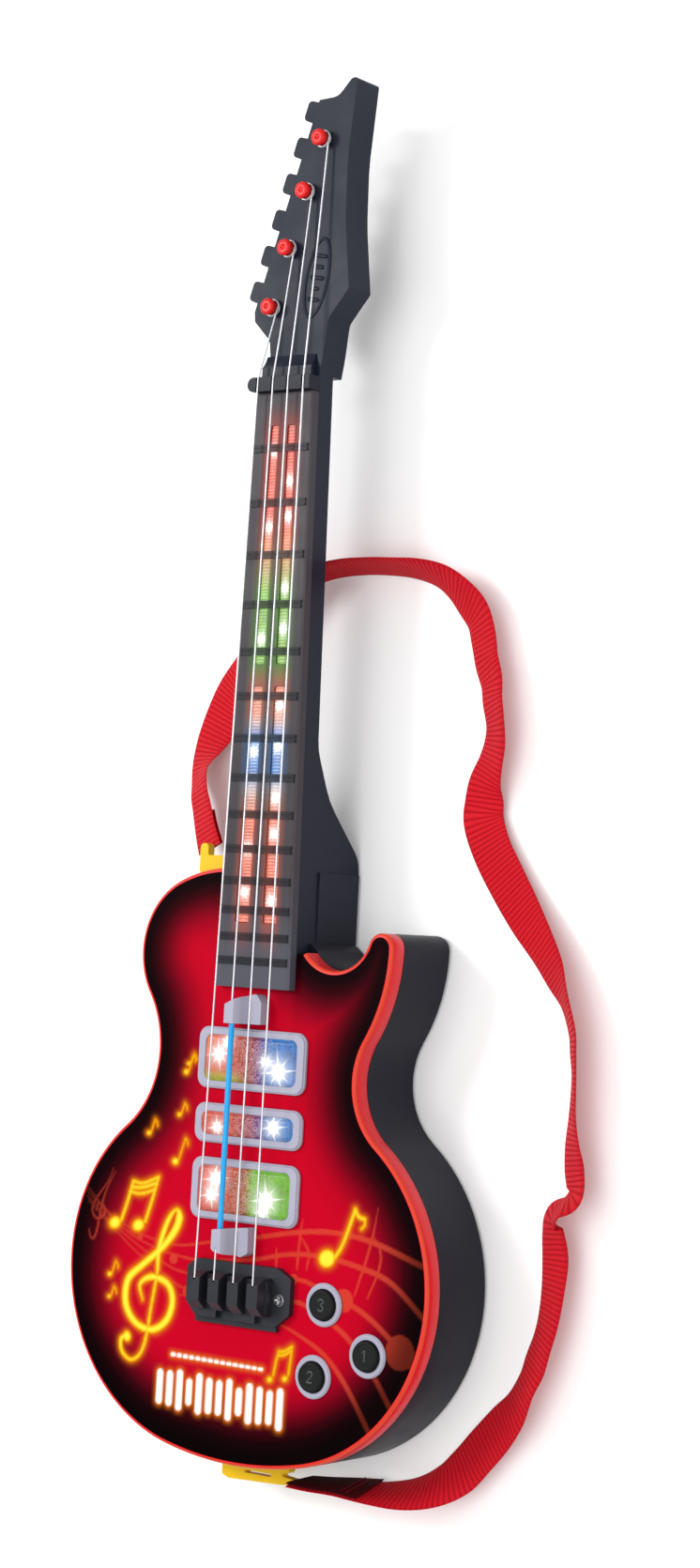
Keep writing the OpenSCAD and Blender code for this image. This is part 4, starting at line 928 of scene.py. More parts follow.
@dataclass
class PrintedArt:
    """The face's print as distances from drawn paths: waves, notes, a clef and a generic neon badge."""
    # Wave lines from the left edge to the right one
    waves = (((-80.8, 27.8), (-70, 19.2), (-58.3, 13.7), (-45.6, 10.3), (-30.8, 9.2), (-14, 12.4),
              (-2.4, 14), (11.4, 17.1), (29.7, 20.6), (45.5, 21.6), (62.4, 19.7), (86, 13)),
             ((-80.7, 25.9), (-69.3, 17.9), (-56.8, 11), (-42.9, 6.8), (-28.1, 4.6), (-18.4, 4.7),
              (5.1, 7.4), (21.2, 11), (37.1, 12.1), (55.3, 10), (71.1, 5.5), (88, -7)),
             ((-80.5, 23.9), (-68.5, 15.5), (-55.4, 8.3), (-41.3, 2.2), (-28.9, -1.1), (-8.5, -0.7),
              (25.2, 2.1), (35.6, 0.6), (47.2, -2.6), (59.8, -7.5), (72.5, -15.8), (86, -28)),
             ((-79.7, 22.1), (-67.7, 13.7), (-53.9, 4.7), (-39.8, -2.3), (-27.2, -7.5), (-8, -7.2),
              (24.7, -6.2), (36.3, -9.3), (50.3, -15.8), (63.4, -27.6), (76, -44)),
             ((-30, -10), (0, -14), (19.6, -15.9), (30.2, -19.2), (42, -24.9), (52.8, -35.2), (66, -53)))
    # Thin figures drawn on the waves: stems, flags and a small clef
    thin = (((63.2, 32.8), (61.6, 23.2), (59, 13.1), (56.2, 4.7), (54.4, -0.9)),
            ((61.7, 22.3), (65.4, 16.4), (64.8, 9.2), (60.5, -1.1)),
            ((28.2, 25.2), (27.5, 19.7), (26.8, 9.6), (26.7, 5.9)),
            ((27.5, 18.8), (31.9, 12.9), (31.2, 6.4)),
            ((16.4, 13), (16.7, 5.7)),
            ((-67.5, 36.2), (-70, 30.5), (-74.4, 25), (-77.5, 19.5), (-75.6, 15.6), (-71.6, 16.4), (-71, 20),
             (-74, 21.6), (-75.5, 18.6)),
            ((-66.4, 35), (-71.6, 24.6), (-74.9, 9.1), (-77.4, 7.6), (-78.6, 10.7)))
    # Round heads on the waves: x, y, radius
    dots = ((49.5, -3.3, 4.4), (76.6, -19.6, 6.6), (25.4, 2.1, 2.0), (-26.4, -8.3, 2.2), (-51.8, 10.1, 1.2),
            (-34.1, 3.5, 2.0))
    # The neon clef, from its inner curl down to its foot
    clef = ((-48.7, -14.2), (-50.4, -8.2), (-44.5, -4.7), (-36.4, -6.6), (-33.5, -12.9), (-35.9, -20.7),
            (-43, -25.3), (-51.7, -23.5), (-57.2, -16.6), (-56.7, -7), (-49.8, -0.6), (-40.5, 7),
            (-34.4, 14.3), (-32.3, 20), (-34.3, 22.7), (-38.2, 17.6), (-41.7, 6.9), (-42.1, -3.5),
            (-44.2, -16.9), (-45.8, -28.4), (-48.4, -35.4), (-53.1, -38.3), (-57.7, -35.6), (-58.6, -31),
            (-55.7, -28.9))
    # Straight strokes with half widths: note stems, flags and beams
    strokes = (((44.4, 12.5), (47.8, 18), (52.6, 31), 0.85),
               ((52.6, 31.4), (54.2, 29), (57.2, 28), 0.9),
               ((57.2, 28), (57.4, 26), (56, 24.4), 0.6),
               ((-62, 16), (-59.3, 23.5), (-56.9, 31.6), 0.8),
               ((-49.6, 16.6), (-46.7, 25.5), (-44.2, 34.2), 0.8),
               ((-56.9, 31.8), (-51.5, 31.6), (-44, 34.6), 0.8),
               ((-57.4, 29.6), (-51.8, 29.9), (-44.8, 32.2), 0.9),
               ((-58.2, 27.6), (-52.4, 27.4), (-45.6, 29.6), 0.8),
               ((18.2, -35.4), (19.2, -30), (20.3, -25.9), 0.5),
               ((25.4, -34.3), (26, -29), (26.4, -23.4), 0.5),
               ((20.3, -26), (23, -25.6), (26.4, -23.5), 0.6),
               ((20, -27.6), (23, -27), (26.3, -25), 0.6))
    # Neon note heads: x, y, and their two half widths
    heads = ((40.6, 11.6, 4.0, 3.4), (-65.2, 14.6, 3.2, 2.4), (-53, 14.8, 3.2, 2.4), (16.6, -37.2, 1.5, 1.2),
             (23.8, -36, 1.5, 1.2), (-55.6, -29.4, 2.0, 2.2))
    # Small notes: head x, head y, stem length, head radius
    small = ((-33, 77.1, 7.4, 1.3), (-32, 80.4, 3.4, 1.0), (-35.3, 60.1, 4.6, 1.1), (-50.3, 51.6, 5.6, 1.2),
             (-36, 41.6, 9.4, 1.7), (-66.4, -6, 5.4, 1.2), (-66, -14.8, 4.2, 1.0))
    # The badge's row of bars, from its first to its last
    badge_left: float = -38.5
    badge_right: float = 21.0
    bars: int = 13
    bar_y: float = -47.6
    bar_half: float = 1.55
    # The dotted row above them
    row_count: int = 15
    row_left: float = -31.5
    row_step: float = 3.1
    row_y: float = -33.6
    row_half: float = 0.7

    @staticmethod
    def near(points: Array, path: Array, half: Array | float, reach: float) -> Array:
        """Distance outside a stroke of half width half, large further than reach from the stroke's box."""
        low, high = path.min(0) - reach, path.max(0) + reach
        close = ((points > low) & (points < high)).all(1)
        result = np.full(len(points), FAR)
        if close.any():
            d, _, share = nearest_on(points[close], path)
            width = np.interp(share, np.linspace(0, 1, len(half)), half) if np.ndim(half) else half
            result[close] = d - width
        return result

    def wave_field(self, points: Array) -> Array:
        """Mask of the pale waves, with thin figures and round heads: 1 inside a line, soft over 0.3 mm."""
        d = np.full(len(points), FAR)
        for line in self.waves:
            d = np.minimum(d, self.near(points, smooth_path(np.array(line), 90),
                                        np.array([0.22, 0.25, 0.45, 0.8, 1.0, 1.1]), 3))
        for line in self.thin:
            d = np.minimum(d, self.near(points, smooth_path(np.array(line), 24),
                                        np.array([0.15, 0.5, 0.5, 0.3]), 3))
        for x, y, r in self.dots:
            d = np.minimum(d, np.hypot(points[:, 0] - x, points[:, 1] - y) - r)
        return 1 - fade(d, -0.3, 0.3)

    def neon_distance(self, points: Array) -> Array:
        """Distance outside the nearest neon stroke, head or flag, negative inside it."""
        clef_half = np.array([0.5, 1.0, 1.5, 1.5, 1.6, 1.6, 1.5, 1.5, 1.7, 1.7, 1.5, 1.5, 1.8, 1.9, 0.7, 1.3,
                              1.4, 0.8, 0.7, 0.8, 0.8, 0.8, 0.9, 1.1, 1.2])
        d = self.near(points, smooth_path(np.array(self.clef), 200), clef_half, 5)
        for a, b, c, half in self.strokes:
            d = np.minimum(d, self.near(points, smooth_path(np.array([a, b, c]), 12), half, 5))
        for x, y, rx, ry in self.heads:
            c, s = math.cos(0.35), math.sin(0.35)
            dx, dy = points[:, 0] - x, points[:, 1] - y
            u, v = dx * c + dy * s, dy * c - dx * s
            d = np.minimum(d, (np.hypot(u / rx, v / ry) - 1) * ry)
        for x, y, stem, r in self.small:
            top = np.array([x + r * 0.9 + 0.32 * stem, y + stem])
            d = np.minimum(d, np.hypot(points[:, 0] - x, (points[:, 1] - y) * 1.2) - r)
            d = np.minimum(d, self.near(points, np.array([[x + r * 0.8, y], top]), 0.28, 4))
            d = np.minimum(d, self.near(points, np.array([top, top + [1.1, -1.0], top + [1.3, -2.4]]), 0.3,
                                        4))
        return d

    def badge_distance(self, points: Array) -> Array:
        """Distance outside the badge: a row of upright level bars over a fine dotted line, all generic."""
        d = np.full(len(points), FAR)
        x = np.linspace(self.badge_left, self.badge_right, self.bars)
        tall = 3.6 + 3.0 * np.abs(np.sin(np.arange(self.bars) * 1.9 + 0.6))
        for k in range(self.bars):
            mid, reach = np.array([x[k] + 1.0, self.bar_y - 0.02 * x[k]]), [0, tall[k]]
            d = np.minimum(d, self.near(points, np.array([mid - reach, mid + reach]), self.bar_half, 4))
        for k in range(self.row_count):
            mid, reach = np.array([self.row_left + self.row_step * k, self.row_y - 0.02 * k]), [0.6, 0]
            d = np.minimum(d, self.near(points, np.array([mid - reach, mid + reach]), self.row_half, 3))
        return d


@dataclass
class Body:
    """Casing: printed face, red rim and the black back."""
    outline: Outline
    face: float = 40.0
    seam: float = 32.0
    bevel: float = 1.3
    # The ledge that the film lies on and the wall below it: how far they reach in, and the height of their tops
    ledge: float = 3.4
    ledge_z: float = 39.58
    wall: float = 2.4
    wall_z: float = 37.8
    film_inset: float = 1.55
    film_step: float = 0.6
    pitch: tuple[float, ...] = (83.9, 58.4, 33.0)
    windows: tuple[float, ...] = (8.9, 4.4, 8.9)
    buttons: tuple[tuple[float, float], ...] = BUTTONS
    button_hole: float = 7.4
    window_reach: float = 24.0
    window_margin: float = 1.6
    window_corner: float = 3.0
    film_thick: float = 0.4
    pocket_end: float = 113.4
    # The sunburst's colours by depth from the edge, as shares of the burst's whole depth
    burst_depth: float = 40.0
    burst: tuple[tuple[float, Colour], ...] = (
        (0.0, (0.0012, 0.0, 0.0002)), (0.13, (0.006, 0.0, 0.0008)), (0.24, (0.028, 0.0, 0.002)),
        (0.36, (0.100, 0.0, 0.005)), (0.50, (0.240, 0.0, 0.009)), (0.66, (0.385, 0.0003, 0.011)),
        (0.86, (0.445, 0.0003, 0.0125)))

    def border(self) -> Array:
        """The film's border: the outline set in, then round the neck pocket."""
        points, normals = self.outline.path()
        edge = points - self.film_inset * normals
        edge = edge[(np.abs(edge[:, 0]) > self.outline.pocket) | (edge[:, 1] < 100)]
        p = self.outline.pocket + 0.02
        notch = np.array([[p, edge[-1, 1] + 0.5], [p, self.pocket_end], [-p, self.pocket_end],
                          [-p, edge[0, 1]]])
        return np.concatenate([edge, notch])

    def film(self) -> bpy.types.Object:
        """The printed film: a square grid cut to the border and the holes, its rim vertices drawn onto them.

        Each vertex carries how far it is from the body's edge and how much of each ink lies there.

        Returns:
            The piece.
        """
        border = self.border()
        turn = np.linspace(0, 2 * np.pi, 64, endpoint=False)
        circle = np.stack([np.cos(turn), np.sin(turn)], 1)
        rings = [border] + [np.array(b) + self.button_hole * circle for b in self.buttons]
        for y, half in zip(self.pitch, self.windows):
            flats = np.array([self.window_reach, half + self.window_margin]) - self.window_corner
            rings.append(np.array([0, y]) + np.sign(circle) * flats + self.window_corner * circle)
        low, high = border.min(0) - 1, border.max(0) + 1
        x = np.arange(low[0], high[0], self.film_step)
        y = np.arange(low[1], high[1], self.film_step)
        gx, gy = np.meshgrid(x, y)
        points = np.stack([gx.ravel(), gy.ravel()], 1)
        cells = grid_faces(len(y), len(x))
        middle = points[cells].mean(1)
        keep = inside(middle, rings[0])
        for hole in rings[1:]:
            keep &= ~inside(middle, hole)
        cells = cells[keep]
        used, inverse = np.unique(cells, return_inverse=True)
        points, cells = points[used], inverse.reshape(-1, 4)
        count = np.bincount(cells.ravel(), minlength=len(points))
        rim = np.nonzero(count < 4)[0]
        best, loose = np.full(len(rim), 1e9), points[rim].copy()
        for ring in rings:
            d, place, _ = nearest_on(loose, ring, closed=True)
            near = d < best
            best[near] = d[near]
            points[rim[near]] = place[near]
        edges = np.concatenate([cells[:, [0, 1]], cells[:, [1, 2]], cells[:, [2, 3]], cells[:, [3, 0]]])
        key = np.sort(edges, 1)
        _, first, times = np.unique(key[:, 0].astype(np.int64) * len(points) + key[:, 1], return_index=True,
                                    return_counts=True)
        lone = edges[first[times == 1]]
        n = len(points)
        walls = np.stack([lone[:, 1], lone[:, 0], lone[:, 0] + n, lone[:, 1] + n], 1)
        top = np.concatenate([points, np.full((n, 1), self.face)], 1)
        under = top - [0, 0, self.film_thick]
        outer, _ = self.outline.path()
        tail_shade = 5 * fade(-points[:, 1], 15, 65)
        side_shade = 3.5 * fade(points[:, 0], 10, 70) * fade(-points[:, 1], -25, 25)
        depth = np.maximum(nearest_on(points, outer)[0] - tail_shade - side_shade, 0)
        art = PrintedArt()
        neon, badge = art.neon_distance(points), art.badge_distance(points)
        fields = {"depth": depth, "wave": art.wave_field(points), "neon": 1 - fade(neon, -0.35, 0.25),
                  "core": 1 - fade(neon, -1.2, -0.25),
                  "halo": np.exp(-((np.clip(np.minimum(neon, badge), 0, 9) / 1.0) ** 1.4)),
                  "badge": 1 - fade(badge, -0.3, 0.3)}
        fields = {k: np.concatenate([v, v]) for k, v in fields.items()}
        return surface("face_film", np.concatenate([top, under]), [cells, cells[:, ::-1] + n, walls], 30,
                       None, fields)

    def film_material(self) -> bpy.types.Material:
        """Sunburst by depth from the edge, with waves, neon notes and badge printed over it; the neon and part
        of its halo glow as painted light.
        """
        bench = Bench.material("Printed sunburst film")
        place = bench.place()
        cloud = bench.math("MULTIPLY", bench.math("SUBTRACT", bench.noise(place, 14.0, 2.0), 0.5), 6.0)
        depth = bench.math("DIVIDE", bench.math("ADD", bench.field("depth"), cloud), self.burst_depth)
        burst = bench.ramp(depth, self.burst)
        wave = bench.mix(bench.math("MULTIPLY", bench.field("wave"), 0.62), burst, (0.54, 0.055, 0.025))
        shaded = bench.mix(bench.span(depth, 0.0, 0.55, 0.75, 0.0, True), wave, burst)
        halo = bench.mix(bench.math("MULTIPLY", bench.field("halo"), 0.85), shaded, (0.55, 0.13, 0.0))
        rod = bench.mix(bench.noise(place, 120.0, 2.0), (0.50, 0.26, 0.002), (0.58, 0.33, 0.004))
        neon = bench.mix(bench.field("neon"), halo, rod)
        core = bench.mix(bench.field("core"), neon, (0.72, 0.56, 0.035))
        colour = bench.mix(bench.field("badge"), core, (0.72, 0.70, 0.69))
        bench.set("Base Color", colour)
        # Painted glow: the printed neon and part of its halo give off light, though the film is no lamp
        lit = bench.math("ADD", bench.field("neon"), bench.math("MULTIPLY", bench.field("halo"), 0.35))
        bench.set("Emission Color", bench.mix(bench.math("MINIMUM", lit, 1.0), (0.0, 0.0, 0.0), colour))
        bench.constant("Emission Strength", 0.22)
        bench.set("Roughness", bench.span(bench.noise(place, 300.0, 3.0), 0.3, 0.7, 0.36, 0.46))
        grain = bench.group(grain_group(), Scale=900.0)
        bench.set("Normal", bench.bump(grain["Height"], 0.03, 0.0001))
        bench.constant("Specular IOR Level", 0.02)
        return bench.result

    def rim(self) -> bpy.types.Object:
        """The red rim: a profile of (set-in, height) carried along the outline, p - set-in times outward."""
        points, normals = self.outline.path()
        turn = np.linspace(0, np.pi / 2, 7)
        bevel = np.stack([self.bevel * (1 - np.cos(turn)),
                          self.face - self.bevel + self.bevel * np.sin(turn)], 1)
        lip = self.film_inset + 0.02
        foot = self.seam + 0.03
        tail = np.array([[lip, self.face], [lip, self.ledge_z], [self.ledge, self.ledge_z],
                         [self.ledge, self.wall_z], [self.wall, self.wall_z], [self.wall, foot], [0.15, foot]])
        profile = np.concatenate([[[0, self.seam + 0.25]], bevel, tail])
        rings = np.empty((len(points), len(profile), 3))
        rings[..., :2] = points[:, None] - profile[None, :, :1] * normals[:, None]
        rings[..., 2] = profile[None, :, 1]
        run = np.concatenate([[0], np.cumsum(np.linalg.norm(np.diff(points, axis=0), axis=1))])
        # Painted highlight: the share of lighter orange laid on the rounded edge, carried in the bevel field
        lit = np.zeros(len(profile))
        lit[1:8] = np.array([0.0, 0.5, 1.0, 1.0, 1.0, 0.6, 0.2])
        across = np.linspace(0, 1, len(profile))[None]
        uv = np.stack(np.broadcast_arrays(run[:, None] * MM, across), -1).reshape(-1, 2)
        return sweep("front_rim", rings, 50, uv, {"bevel": np.tile(lit, len(points))})

    def rim_material(self) -> bpy.types.Material:
        """Glossy red, with a painted highlight of lighter orange along its rounded edge."""
        bench = Bench.material("Glossy red rim")
        grain = bench.group(grain_group(), Scale=1200.0)
        red = bench.mix(grain["Mottle"], (0.60, 0.003, 0.009), (0.64, 0.005, 0.011))
        # The bevel field mixes in the painted orange highlight
        bench.set("Base Color", bench.mix(bench.math("MULTIPLY", bench.field("bevel"), 0.85), red,
                                          (0.58, 0.055, 0.018)))
        bench.set("Roughness", bench.span(grain["Mottle"], 0, 1, 0.30, 0.36))
        bench.set("Normal", bench.bump(grain["Height"], 0.02, 0.0001))
        bench.constant("Specular IOR Level", 0.2)
        return bench.result

    def build(self) -> None:
        """Makes the film, the rim and the back casing."""
        film = dress(self.film(), self.film_material(), "body")
        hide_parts("face_print")
        rim = dress(self.rim(), self.rim_material(), "body")
        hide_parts("front_shell")
        dress(moulded_copy("back_shell", 0, 32), BLACK_PLASTIC, "body")
        LOG.info("body: film of %d faces, rim, back", len(film.data.polygons))


# ---------------------------------------------------------------- lights
@dataclass
class Star:
    """A painted sparkle of light: place in millimetres, reach of its long rays and its turn in degrees."""
    x: float
    y: float
    reach: float
    turn: float = 8.0

    def glow(self, x: Array, y: Array) -> Array:
        """Brightness: a round core exp(-(r/c)^2) and eight rays, each narrow across and fading along."""
        u, v = x - self.x, y - self.y
        r = np.hypot(u, v)
        core, haze = 0.15 * self.reach, 0.5 * self.reach
        total = np.exp(-((r / core) ** 2)) * 1.4 + 0.42 * np.exp(-((r / haze) ** 2))
        for k in range(8):
            a = math.radians(self.turn + 22.5 * k)
            along = np.abs(u * math.cos(a) + v * math.sin(a))
            off = np.abs(-u * math.sin(a) + v * math.cos(a))
            length = self.reach * (1.0 if k % 4 == 0 else 0.7 if k % 2 == 0 else 0.42)
            width = 0.055 * self.reach * np.clip(1 - along / length, 0, 1) + 1e-3
            total += 0.9 * np.exp(-((off / width) ** 2)) * np.clip(1 - along / length, 0, 1)
        return np.clip(total, 0, 1)


@dataclass
class LightWindow:
    """One pickup window: crystal lens with a bubbly top, lit in colours."""
    number: int
    middle: float
    half: float
    colours: tuple[tuple[float, Colour], ...]
    stars: tuple[Star, ...]
    green_foot: float = 0.0
    width: float = 44.6
    top: float = 42.6
    under: float = 37.2
    # Grid spacing, width of the soft shoulder and spacing of the bubbles
    cell: float = 0.28
    ease: float = 1.6
    bubble_gap: float = 1.5

    def lens(self) -> bpy.types.Object:
        """The lens: a rounded grid whose height is the top less a soft shoulder, plus rows of small bubbles.

        A point at (s, t), both -1 to 1, is drawn in by powers of s and t towards the corners; bubbles are
        narrow bells on a jittered lattice, highest in the middle.

        Returns:
            The piece.
        """
        rows, cols = int(self.half * 2 / self.cell), int(self.width / self.cell)
        s, t = np.meshgrid(np.linspace(-1, 1, cols), np.linspace(-1, 1, rows))
        aspect = self.width / 2 / self.half
        pinch_s = 1 - 0.09 / aspect * np.abs(t) ** 10
        pinch_t = 1 - 0.09 * np.abs(s) ** (10 * aspect)
        x, y = s * pinch_s * self.width / 2, t * pinch_t * self.half
        shoulder = 0.9 * np.maximum(fade(np.abs(x), self.width / 2 - self.ease, self.width / 2),
                                    fade(np.abs(y), self.half - self.ease, self.half))
        rng = np.random.default_rng(20 + self.number)
        gx, gy = np.meshgrid(np.arange(-self.width / 2 + 1.5, self.width / 2 - 1, self.bubble_gap),
                             np.arange(-self.half + 1.3, self.half - 1, self.bubble_gap))
        bx = gx.ravel() + rng.uniform(-0.45, 0.45, gx.size)
        by = gy.ravel() + rng.uniform(-0.45, 0.45, gx.size)
        size = rng.uniform(0.35, 0.75, gx.size)
        bubbles, ringed = np.zeros_like(x), np.zeros_like(x)
        for cx, cy, r in zip(bx, by, size):
            d = np.hypot(x - cx, y - cy) / r
            bubbles += 0.16 * np.exp(-(d**2))
            ringed = np.maximum(ringed, np.exp(-(((d - 1) / 0.28) ** 2)))
        centre = np.exp(-((x / (0.24 * self.width)) ** 2))
        height = self.top - shoulder + bubbles * (0.3 + 0.7 * centre) * (shoulder < 0.1)
        # Painted lamp light: the colours of the lamps below spread across the lens, with a green patch at the
        # foot where green_foot is set
        stops = np.array([c[0] for c in self.colours])
        painted_lamp_glow = np.stack([np.interp(x / self.width + 0.5, stops, [c[1][k] for c in self.colours])
                         for k in range(3)], -1)
        foot = self.green_foot * fade(-y, 0.35 * self.half, 0.95 * self.half) * fade(-x, -2, 10)
        painted_lamp_glow = painted_lamp_glow * (1 - foot[..., None]) + np.array([0.17, 0.33, 0.012]) * foot[..., None]
        # Painted glints: star-shaped sparkles of lamp light laid on the lens
        glint = np.clip(sum(star.glow(x, y) for star in self.stars), 0, 1)
        # Painted highlight: bright rings round the bubbles, strongest in the middle
        sparkle = ringed * (0.2 + 0.5 * centre)
        upper = np.stack([x, y + self.middle, height], -1).reshape(-1, 3)
        lower = upper * [1, 1, 0] + [0, 0, self.under]
        fields = {"painted_lamp_glow": painted_lamp_glow.reshape(-1, 3), "glint": glint.ravel(), "sparkle": sparkle.ravel()}
        fields = {k: np.concatenate([v, v]) for k, v in fields.items()}
        return surface(f"light_lens_{self.number}_crystal", np.concatenate([upper, lower]),
                       slab_faces(rows, cols), 50, None, fields)

    def build(self) -> None:
        """Makes the lens and its moulded frame."""
        lens = dress(self.lens(), lit_material(), "body")
        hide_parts(f"light_lens_{self.number}")
        dress(moulded_copy(f"pickup_frame_{self.number}", 0.35, 30), GREY_TRIM, "body")


def lit_material() -> bpy.types.Material:
    """Lit crystal as painted light: the lamps' colour carried on the mesh, broken by fine bubbles, whiter at
    painted sparkles and glints, and glowing.
    """
    name = "Lit crystal lens"
    if name in bpy.data.materials:
        return bpy.data.materials[name]
    bench = Bench.material(name)
    grain = bench.group(grain_group(), Scale=700.0, Patches=240.0)
    painted_lamp_glow = bench.mix(bench.math("MULTIPLY", grain["Mottle"], 0.45), bench.field("painted_lamp_glow", True),
                     (0.06, 0.008, 0.012))
    painted_lamp_glow = bench.mix(bench.math("MULTIPLY", bench.field("sparkle"), 0.42), painted_lamp_glow, (0.72, 0.60, 0.58))
    colour = bench.mix(bench.field("glint"), painted_lamp_glow, (1.0, 0.99, 0.95))
    bench.set("Base Color", colour)
    # Painted glow: the lens gives off the painted lamp colour itself
    bench.set("Emission Color", colour)
    bench.constant("Emission Strength", 0.38)
    bench.set("Roughness", bench.span(grain["Mottle"], 0, 1, 0.16, 0.28))
    bench.set("Normal", bench.bump(grain["Height"], 0.10, 0.0002))
    bench.constant("Specular IOR Level", 0.2)
    return bench.result


# ---------------------------------------------------------------- neck
@dataclass
class Neck:
    """Neck, head, fretboard with its lit slots, and the nut."""
    # The slots' upper end, and how their places and widths change over a run down the board
    slot_end: float = 332.0
    slot_run: float = 195.0
    slot_mid: float = 4.0
    slot_spread: float = 2.8
    slot_half: float = 1.86
    slot_flare: float = 1.4
    rib: float = 1.25
    base: float = 40.0
    top: float = 43.7
    groups: tuple[tuple[float, float], ...] = ((238.0, 332.0), (137.0, 229.5))
    # Sparkles in the slots: y, and the side of the middle
    sparkles = ((146, 1), (149, -1), (166, -1), (172, 1), (186, 1), (204, -1), (206, 1), (222, 1), (248, -1),
                (252, 1), (268, 1), (292, -1), (296, 1), (310, 1), (322, -1))
    # Light colours up the board: y, colour
    glow = ((137.0, (0.50, 0.075, 0.025)), (176.0, (0.50, 0.085, 0.03)), (184.0, (0.42, 0.16, 0.10)),
            (190.0, (0.30, 0.28, 0.30)), (196.0, (0.02, 0.14, 0.36)), (210.0, (0.02, 0.16, 0.40)),
            (215.0, (0.30, 0.22, 0.22)), (219.0, (0.50, 0.17, 0.09)), (230.0, (0.50, 0.14, 0.07)),
            (238.0, (0.11, 0.30, 0.02)), (266.0, (0.11, 0.32, 0.02)), (275.0, (0.30, 0.24, 0.06)),
            (284.0, (0.50, 0.16, 0.06)), (294.0, (0.50, 0.06, 0.022)), (332.0, (0.48, 0.05, 0.02)))

    def aside(self, y: Array | float) -> Array | float:
        """How far a slot's middle stands from the board's middle at y up the neck."""
        return self.slot_mid + (self.slot_end - y) / self.slot_run * self.slot_spread

    def board_material(self) -> bpy.types.Material:
        """Smoked plastic that glows round the lit slots, in the colour of the lamps beneath."""
        bench = Bench.material("Smoked fretboard")
        place = bench.place()
        x, y, z = bench.axes(place)
        low, high = 0.100, 0.350
        stops = [((a * MM - low) / (high - low), c) for a, c in self.glow]
        glow = bench.ramp(bench.span(y, low, high, 0, 1), stops)
        down = bench.math("SUBTRACT", self.slot_end * MM, y)
        spread = bench.math("MULTIPLY", down, self.slot_spread / self.slot_run)
        slot = bench.math("ADD", spread, self.slot_mid * MM)
        off = bench.math("ABSOLUTE", bench.math("SUBTRACT", bench.math("ABSOLUTE", x), slot))
        near = bench.span(off, 0.0015, 0.0068, 1, 0, True)
        ends = bench.math("MULTIPLY", bench.span(y, 0.122, 0.142, 0, 1, True),
                          bench.span(y, 0.326, 0.343, 1, 0, True))
        share = bench.math("MULTIPLY", bench.math("MULTIPLY", near, ends), 0.42)
        grain = bench.group(grain_group(), Scale=1000.0)
        warm = bench.mix(bench.span(y, 0.115, 0.16, 0, 1, True), (0.075, 0.077, 0.098), (0.046, 0.040, 0.046))
        smoke = bench.mix(bench.math("MULTIPLY", grain["Mottle"], 0.2), warm, (0.02, 0.02, 0.025))
        smoke = bench.mix(bench.span(z, 0.04378, 0.04386, 0, 0.9), smoke, (0.010, 0.010, 0.014))
        share = bench.math("MULTIPLY", share, bench.span(z, 0.04378, 0.04386, 1, 0.25))
        colour = bench.mix(share, smoke, glow)
        bench.set("Base Color", colour)
        bench.set("Emission Color", bench.mix(share, (0.0, 0.0, 0.0), glow))
        bench.constant("Emission Strength", 0.12)
        bench.set("Roughness", bench.span(grain["Mottle"], 0, 1, 0.34, 0.46))
        bench.constant("Specular IOR Level", 0.12)
        bench.set("Normal", bench.bump(grain["Height"], 0.04, 0.0001))
        return bench.result

    def strip(self, name: str, low: float, high: float) -> bpy.types.Object:
        """Two lit strips over the slots, their tops ribbed crosswise by a sine of the place along them.

        Args:
            name: piece name.
            low: lower end of the slots.
            high: upper end.

        Returns:
            The piece.
        """
        rows, cols = int((high - low) / 0.3), 15
        stars = [Star(side * self.aside(y), y, 5.6, 20 + 7 * k) for k, (y, side) in enumerate(self.sparkles)]
        points, faces, fields = [], [], {"painted_lamp_glow": [], "glint": [], "sparkle": []}
        base = 0
        for side in (-1, 1):
            v, s = np.meshgrid(np.linspace(low + 0.2, high - 0.2, rows), np.linspace(-1, 1, cols),
                               indexing="ij")
            end = np.clip(np.minimum(v - low, high - v) / 1.2, 0.02, 1)
            half = self.slot_half + (self.slot_end - v) / self.slot_run * self.slot_flare
            half = half - 0.9 * (1 - np.sqrt(1 - (1 - end) ** 2))
            x = side * self.aside(v) + s * half
            wave = np.sin(2 * np.pi * v / self.rib)
            z = self.top - 0.5 + 0.07 * wave - 0.35 * np.abs(s) ** 6
            upper = np.stack([x, v, z], -1).reshape(-1, 3)
            faces += slab_faces(rows, cols, base)
            points += [upper, upper * [1, 1, 0] + [0, 0, self.base + 0.4]]
            base += 2 * rows * cols
            # Painted lamp light up the slots, with painted glints at the sparkles
            painted_lamp_glow = 1.15 * np.stack([np.interp(v, [g[0] for g in self.glow], [g[1][k] for g in self.glow])
                                    for k in range(3)], -1)
            glint = np.clip(sum(star.glow(x, v) for star in stars), 0, 1) * 0.95
            # Painted highlight along the rib crests, carried in the sparkle field
            ribs = 0.28 + 0.22 * wave
            for key, value in (("painted_lamp_glow", painted_lamp_glow.reshape(-1, 3)), ("glint", glint.ravel()),
                               ("sparkle", ribs.ravel())):
                fields[key] += [value, value]
        return surface(name, np.concatenate(points), faces, 60, None,
                       {k: np.concatenate(v) for k, v in fields.items()})

    def build(self) -> None:
        """Dresses the neck, the head and the board, and lays the lit strips."""
        for node, bevel in (("neck_back", 0.5), ("neck_front", 0.45)):
            dress(moulded_copy(node, bevel, 28), CHARCOAL, "body")
        dress(moulded_copy("fretboard", 0.25, 30), self.board_material(), "body")
        for node, (low, high) in zip(("fret_lens_upper", "fret_lens_lower"), self.groups):
            strip = dress(self.strip(f"{node}_strips", low, high), lit_material(), "body")
            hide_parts(node)
        dress(moulded_copy("nut", 0.35, 30), BLACK_PLASTIC, "body")
        LOG.info("neck, head, board and nut")


